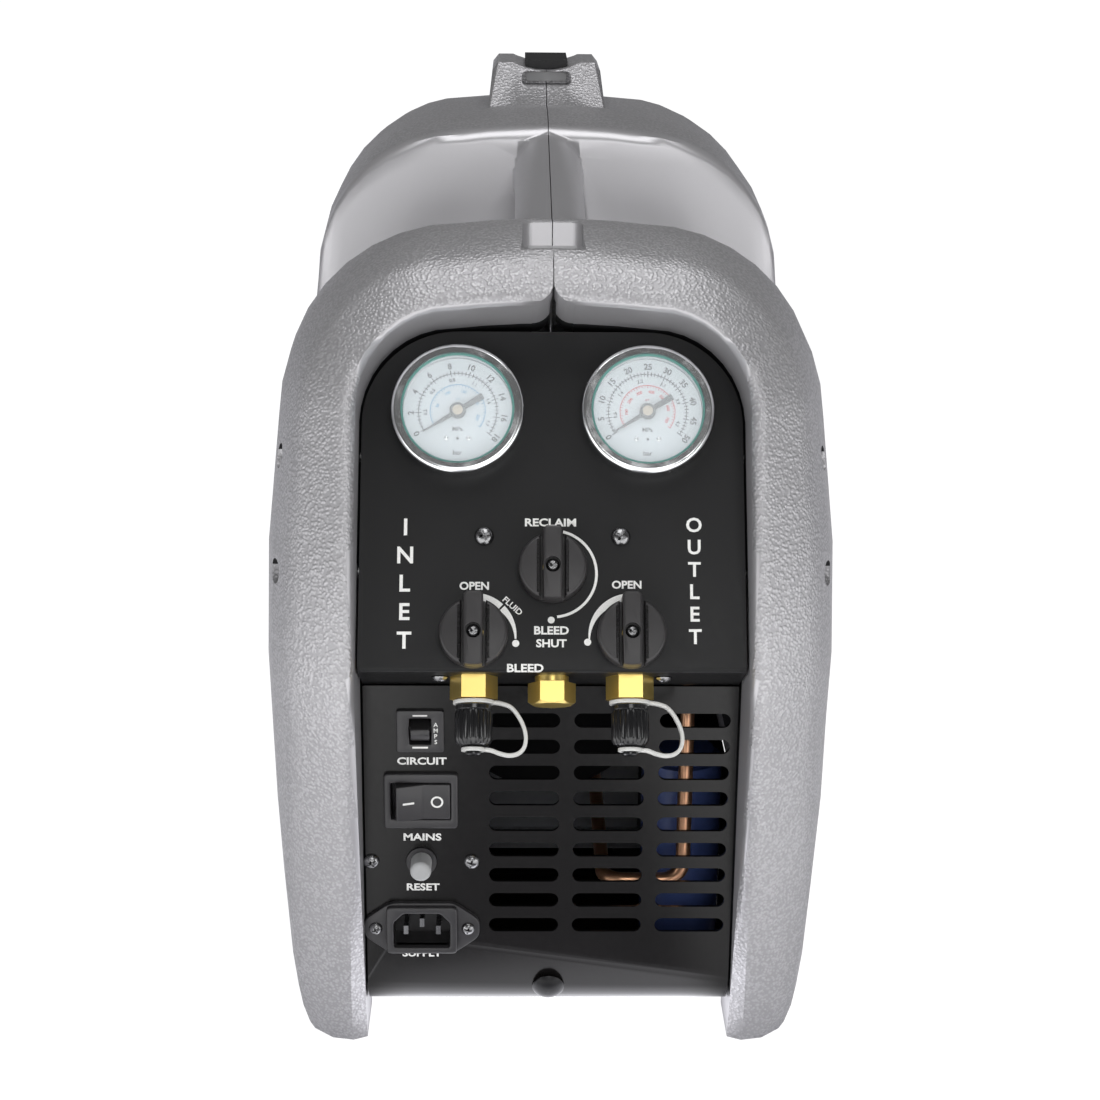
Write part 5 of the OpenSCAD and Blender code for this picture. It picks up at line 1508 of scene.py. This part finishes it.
class MACHINE_OT_print(MachineOperator, bpy.types.Operator):
    """Arcs, dots and words printed on the panels"""

    bl_idname = "machine.print"
    bl_label = "Panel print"

    def build(self, sizes):
        edge = panel_frame(panel_edge())
        big = sizes.letter / MM
        small = sizes.small_letter / MM
        tall = sizes.side_letter / MM
        parts = [
            lettering("RECLAIM", big, (-0.8, 61.9), 0, 21.0, 0.03),
            lettering("OPEN", big, (-31.9, 35.3), 0, 12.0, 0.03),
            lettering("OPEN", big, (30.3, 36.0), 0, 12.1, 0.03),
            lettering("FLUID", small, (-16.2, 27.0), -42, 9.4, 0.02),
            lettering("BLEED", big, (-0.4, 17.0), 0, 14.1, 0.03),
            lettering("SHUT", big, (-0.4, 11.7), 0, 12.4, 0.03),
            lettering("BLEED", big, (-11.0, 1.5), 0, 14.8, 0.03),
        ]
        for word, x, top, pitch, height in (
            ("INLET", -60.2, 59.8, 11.75, tall), ("OUTLET", 58.1, 61.1, 9.3, 0.88 * tall),
        ):
            for i, letter in enumerate(word):
                parts.append(lettering(letter, height, (x, top - i * pitch), bold=0.02))
        low, high = PRINT_LOW, PRINT_HIGH
        mode_up = (joint_spot("mode_valve_turn") - panel_edge()).length / MM
        side = (joint_spot("output_valve_turn") - panel_edge()) / MM
        valve_up = side.dot(UP_PANEL)
        parts.append(arc_strip((0, mode_up - 1.5), 18.0, 76, -84, [1.1, 1.1, 1.1], low, high))
        for x, spans in (
            (-side.x, [((78, 47), (3.7, 3.0)), ((44, -5), (2.9, 0.7))]),
            (side.x, [((95, 109), (0.4, 4.0)), ((109, 185), (4.0, 0.6))]),
        ):
            for (start, end), widths in spans:
                parts.append(tapered_arc((x, valve_up), 17.4, start, end, widths, low, high))
        for x, y, r in ((-0.5, 21.25, 1.4), (-14.9, 11.6, 1.45), (14.3, 12.2, 1.45)):
            parts.append(placed(prism(round_outline(2 * r, 28), low, high), moved(x, y)))
        piece("control_panel_print", placed(joined(parts), edge), ["print_white"], "housing")
        lower = front_frame(0, 0)
        words = [
            lettering(text, big, (x, z), 0, width, 0.03)
            for text, width, x, z in (
                ("CIRCUIT", 21.0, -54.4, 135.9), ("MAINS", 16.2, -54.5, 100.5),
                ("RESET", 14.2, -54.4, 76.8), ("SUPPLY", 17.2, -55.1, 44.8),
            )
        ]
        for i, letter in enumerate("AMPS"):
            words.append(lettering(letter, 1.9, (-48.4, 153.2 - 2.6 * i), bold=0.012, low=1.8))
        piece("lower_panel_print", placed(joined(words), lower), ["print_white"], "housing")


class MACHINE_OT_inner_works(MachineOperator, bpy.types.Operator):
    """Finishes of the machinery behind the panels, some darkened as painted shade"""

    bl_idname = "machine.inner_works"
    bl_label = "Inner works"

    FINISHES = {
        "rubber_mounts": "saddle_rubber",
        "compressor_base": "base_paint",
        # The crankcase gets the near-black painted shade, for the dark inside behind the slots.
        "crankcase": "lining_dark",
        "cylinder_head": "cast_alloy",
        "motor": "motor_paint",
        "motor_shaft": "pin_steel",
        "fan": "fan_plastic",
        "condenser": "fan_plastic",
        "fan_shroud": "base_paint",
        "suction_line": "copper",
        "discharge_line": "copper",
        "liquid_line": "copper",
        "gauge_lines": "copper",
        "run_capacitor": "capacitor_blue",
    }

    def build(self, sizes):
        for node, name in self.FINISHES.items():
            dress(node, name)


class MACHINE_OT_stage(bpy.types.Operator):
    """Pale floor, soft lights and the camera"""

    bl_idname = "machine.stage"
    bl_label = "Stage"

    # Each light's place and width in metres, and the setting of its power
    LIGHTS = (
        ("key_light", (0.0, -0.3, 1.9), 1.2, "key"),
        ("left_light", (-1.6, -1.5, 0.5), 0.9, "side"),
        ("right_light", (1.6, -1.5, 0.5), 0.9, "side"),
        ("front_light", (0.2, -2.2, 1.3), 0.9, "front"),
    )
    AIM = Vector((0, 0, 0.2))
    # The camera in metres, and its pitch down, yaw and roll in degrees
    CAMERA_PLACE = (-0.0155, -1.0653, 0.5121)
    CAMERA_TURN = (18.18, 0.97, -0.53)

    def execute(self, context):
        """Builds the floor, the lights, the surround and the camera."""
        settings = context.scene.machine_stage
        self.floor()
        for name, place, width, power in self.LIGHTS:
            self.light(name, place, width, getattr(settings, power))
        world = bpy.data.worlds.new("surround")
        world.use_nodes = True
        back = world.node_tree.nodes["Background"]
        back.inputs["Color"].default_value = (1, 1, 1, 1)
        back.inputs["Strength"].default_value = settings.sky
        context.scene.world = world
        context.scene.view_settings.view_transform = "Standard"
        self.camera(context.scene, settings.lens)
        return {"FINISHED"}

    def floor(self):
        """Round pale floor with a rim that curves up out of sight."""
        low = -0.0002
        shape = lathe([(0, low), (2.0, low), (3.2, 0.02), (4.0, 0.25), (4.4, 0.8)], 96)
        for face in shape.faces:
            if face.normal.z < 0:
                face.normal_flip()
        mesh = as_mesh("pale_floor", shape)
        mesh.shade_smooth()
        mesh.materials.append(finish("floor_pale"))
        linked("pale_floor", mesh)

    def light(self, name, place, width, power):
        """Square area light that faces the machine."""
        lamp = bpy.data.lights.new(name, "AREA")
        lamp.shape = "SQUARE"
        lamp.size = width
        lamp.energy = power
        made = linked(name, lamp)
        made.location = place
        made.rotation_euler = (self.AIM - Vector(place)).to_track_quat("-Z", "Y").to_euler()

    def camera(self, scene, lens):
        """Camera at the photograph's place and turn."""
        pitch, yaw, roll = (math.radians(a) for a in self.CAMERA_TURN)
        ahead = Vector((math.sin(yaw) * math.cos(pitch), math.cos(yaw) * math.cos(pitch), -math.sin(pitch)))
        level = Vector((math.cos(yaw), -math.sin(yaw), 0))
        right = level * math.cos(roll) + ahead.cross(level) * math.sin(roll)
        back = -ahead
        data = bpy.data.cameras.new("photo_camera")
        data.lens = lens
        data.sensor_width = 36.0
        made = linked("photo_camera", data)
        turn = Matrix((right, back.cross(right), back)).transposed().to_4x4()
        made.matrix_world = Matrix.Translation(self.CAMERA_PLACE) @ turn
        scene.camera = made


OPERATORS = (
    MACHINE_OT_shells,
    MACHINE_OT_panels,
    MACHINE_OT_gauges,
    MACHINE_OT_knobs,
    MACHINE_OT_ports,
    MACHINE_OT_switches,
    MACHINE_OT_inlet,
    MACHINE_OT_screws,
    MACHINE_OT_print,
    MACHINE_OT_inner_works,
    MACHINE_OT_stage,
)


class MACHINE_PT_sidebar(bpy.types.Panel):
    """Lists the machine's settings and pieces"""

    bl_idname = "MACHINE_PT_sidebar"
    bl_label = "Recovery machine"
    bl_space_type = "VIEW_3D"
    bl_region_type = "UI"
    bl_category = "Machine"

    def draw(self, context):
        """Draws the settings and one button for each operator."""
        for group in ("machine_colours", "machine_sizes", "machine_stage"):
            settings = getattr(context.scene, group)
            column = self.layout.column()
            for key in settings.__annotations__:
                column.prop(settings, key)
        for each in OPERATORS:
            self.layout.operator(each.bl_idname)


GROUPS = (MachineColours, MachineSizes, MachineStage)


def register():
    """Registers the classes and their settings."""
    for each in GROUPS + OPERATORS + (MACHINE_PT_sidebar,):
        bpy.utils.register_class(each)
    bpy.types.Scene.machine_colours = PointerProperty(type=MachineColours)
    bpy.types.Scene.machine_sizes = PointerProperty(type=MachineSizes)
    bpy.types.Scene.machine_stage = PointerProperty(type=MachineStage)


def unregister():
    """Removes the settings and the classes."""
    for name in ("machine_colours", "machine_sizes", "machine_stage"):
        delattr(bpy.types.Scene, name)
    for each in reversed(GROUPS + OPERATORS + (MACHINE_PT_sidebar,)):
        bpy.utils.unregister_class(each)


def main():
    """Builds every piece in order."""
    register()
    for each in OPERATORS:
        family, name = each.bl_idname.split(".")
        getattr(getattr(bpy.ops, family), name)()
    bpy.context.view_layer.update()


if __name__ == "__main__":
    main()
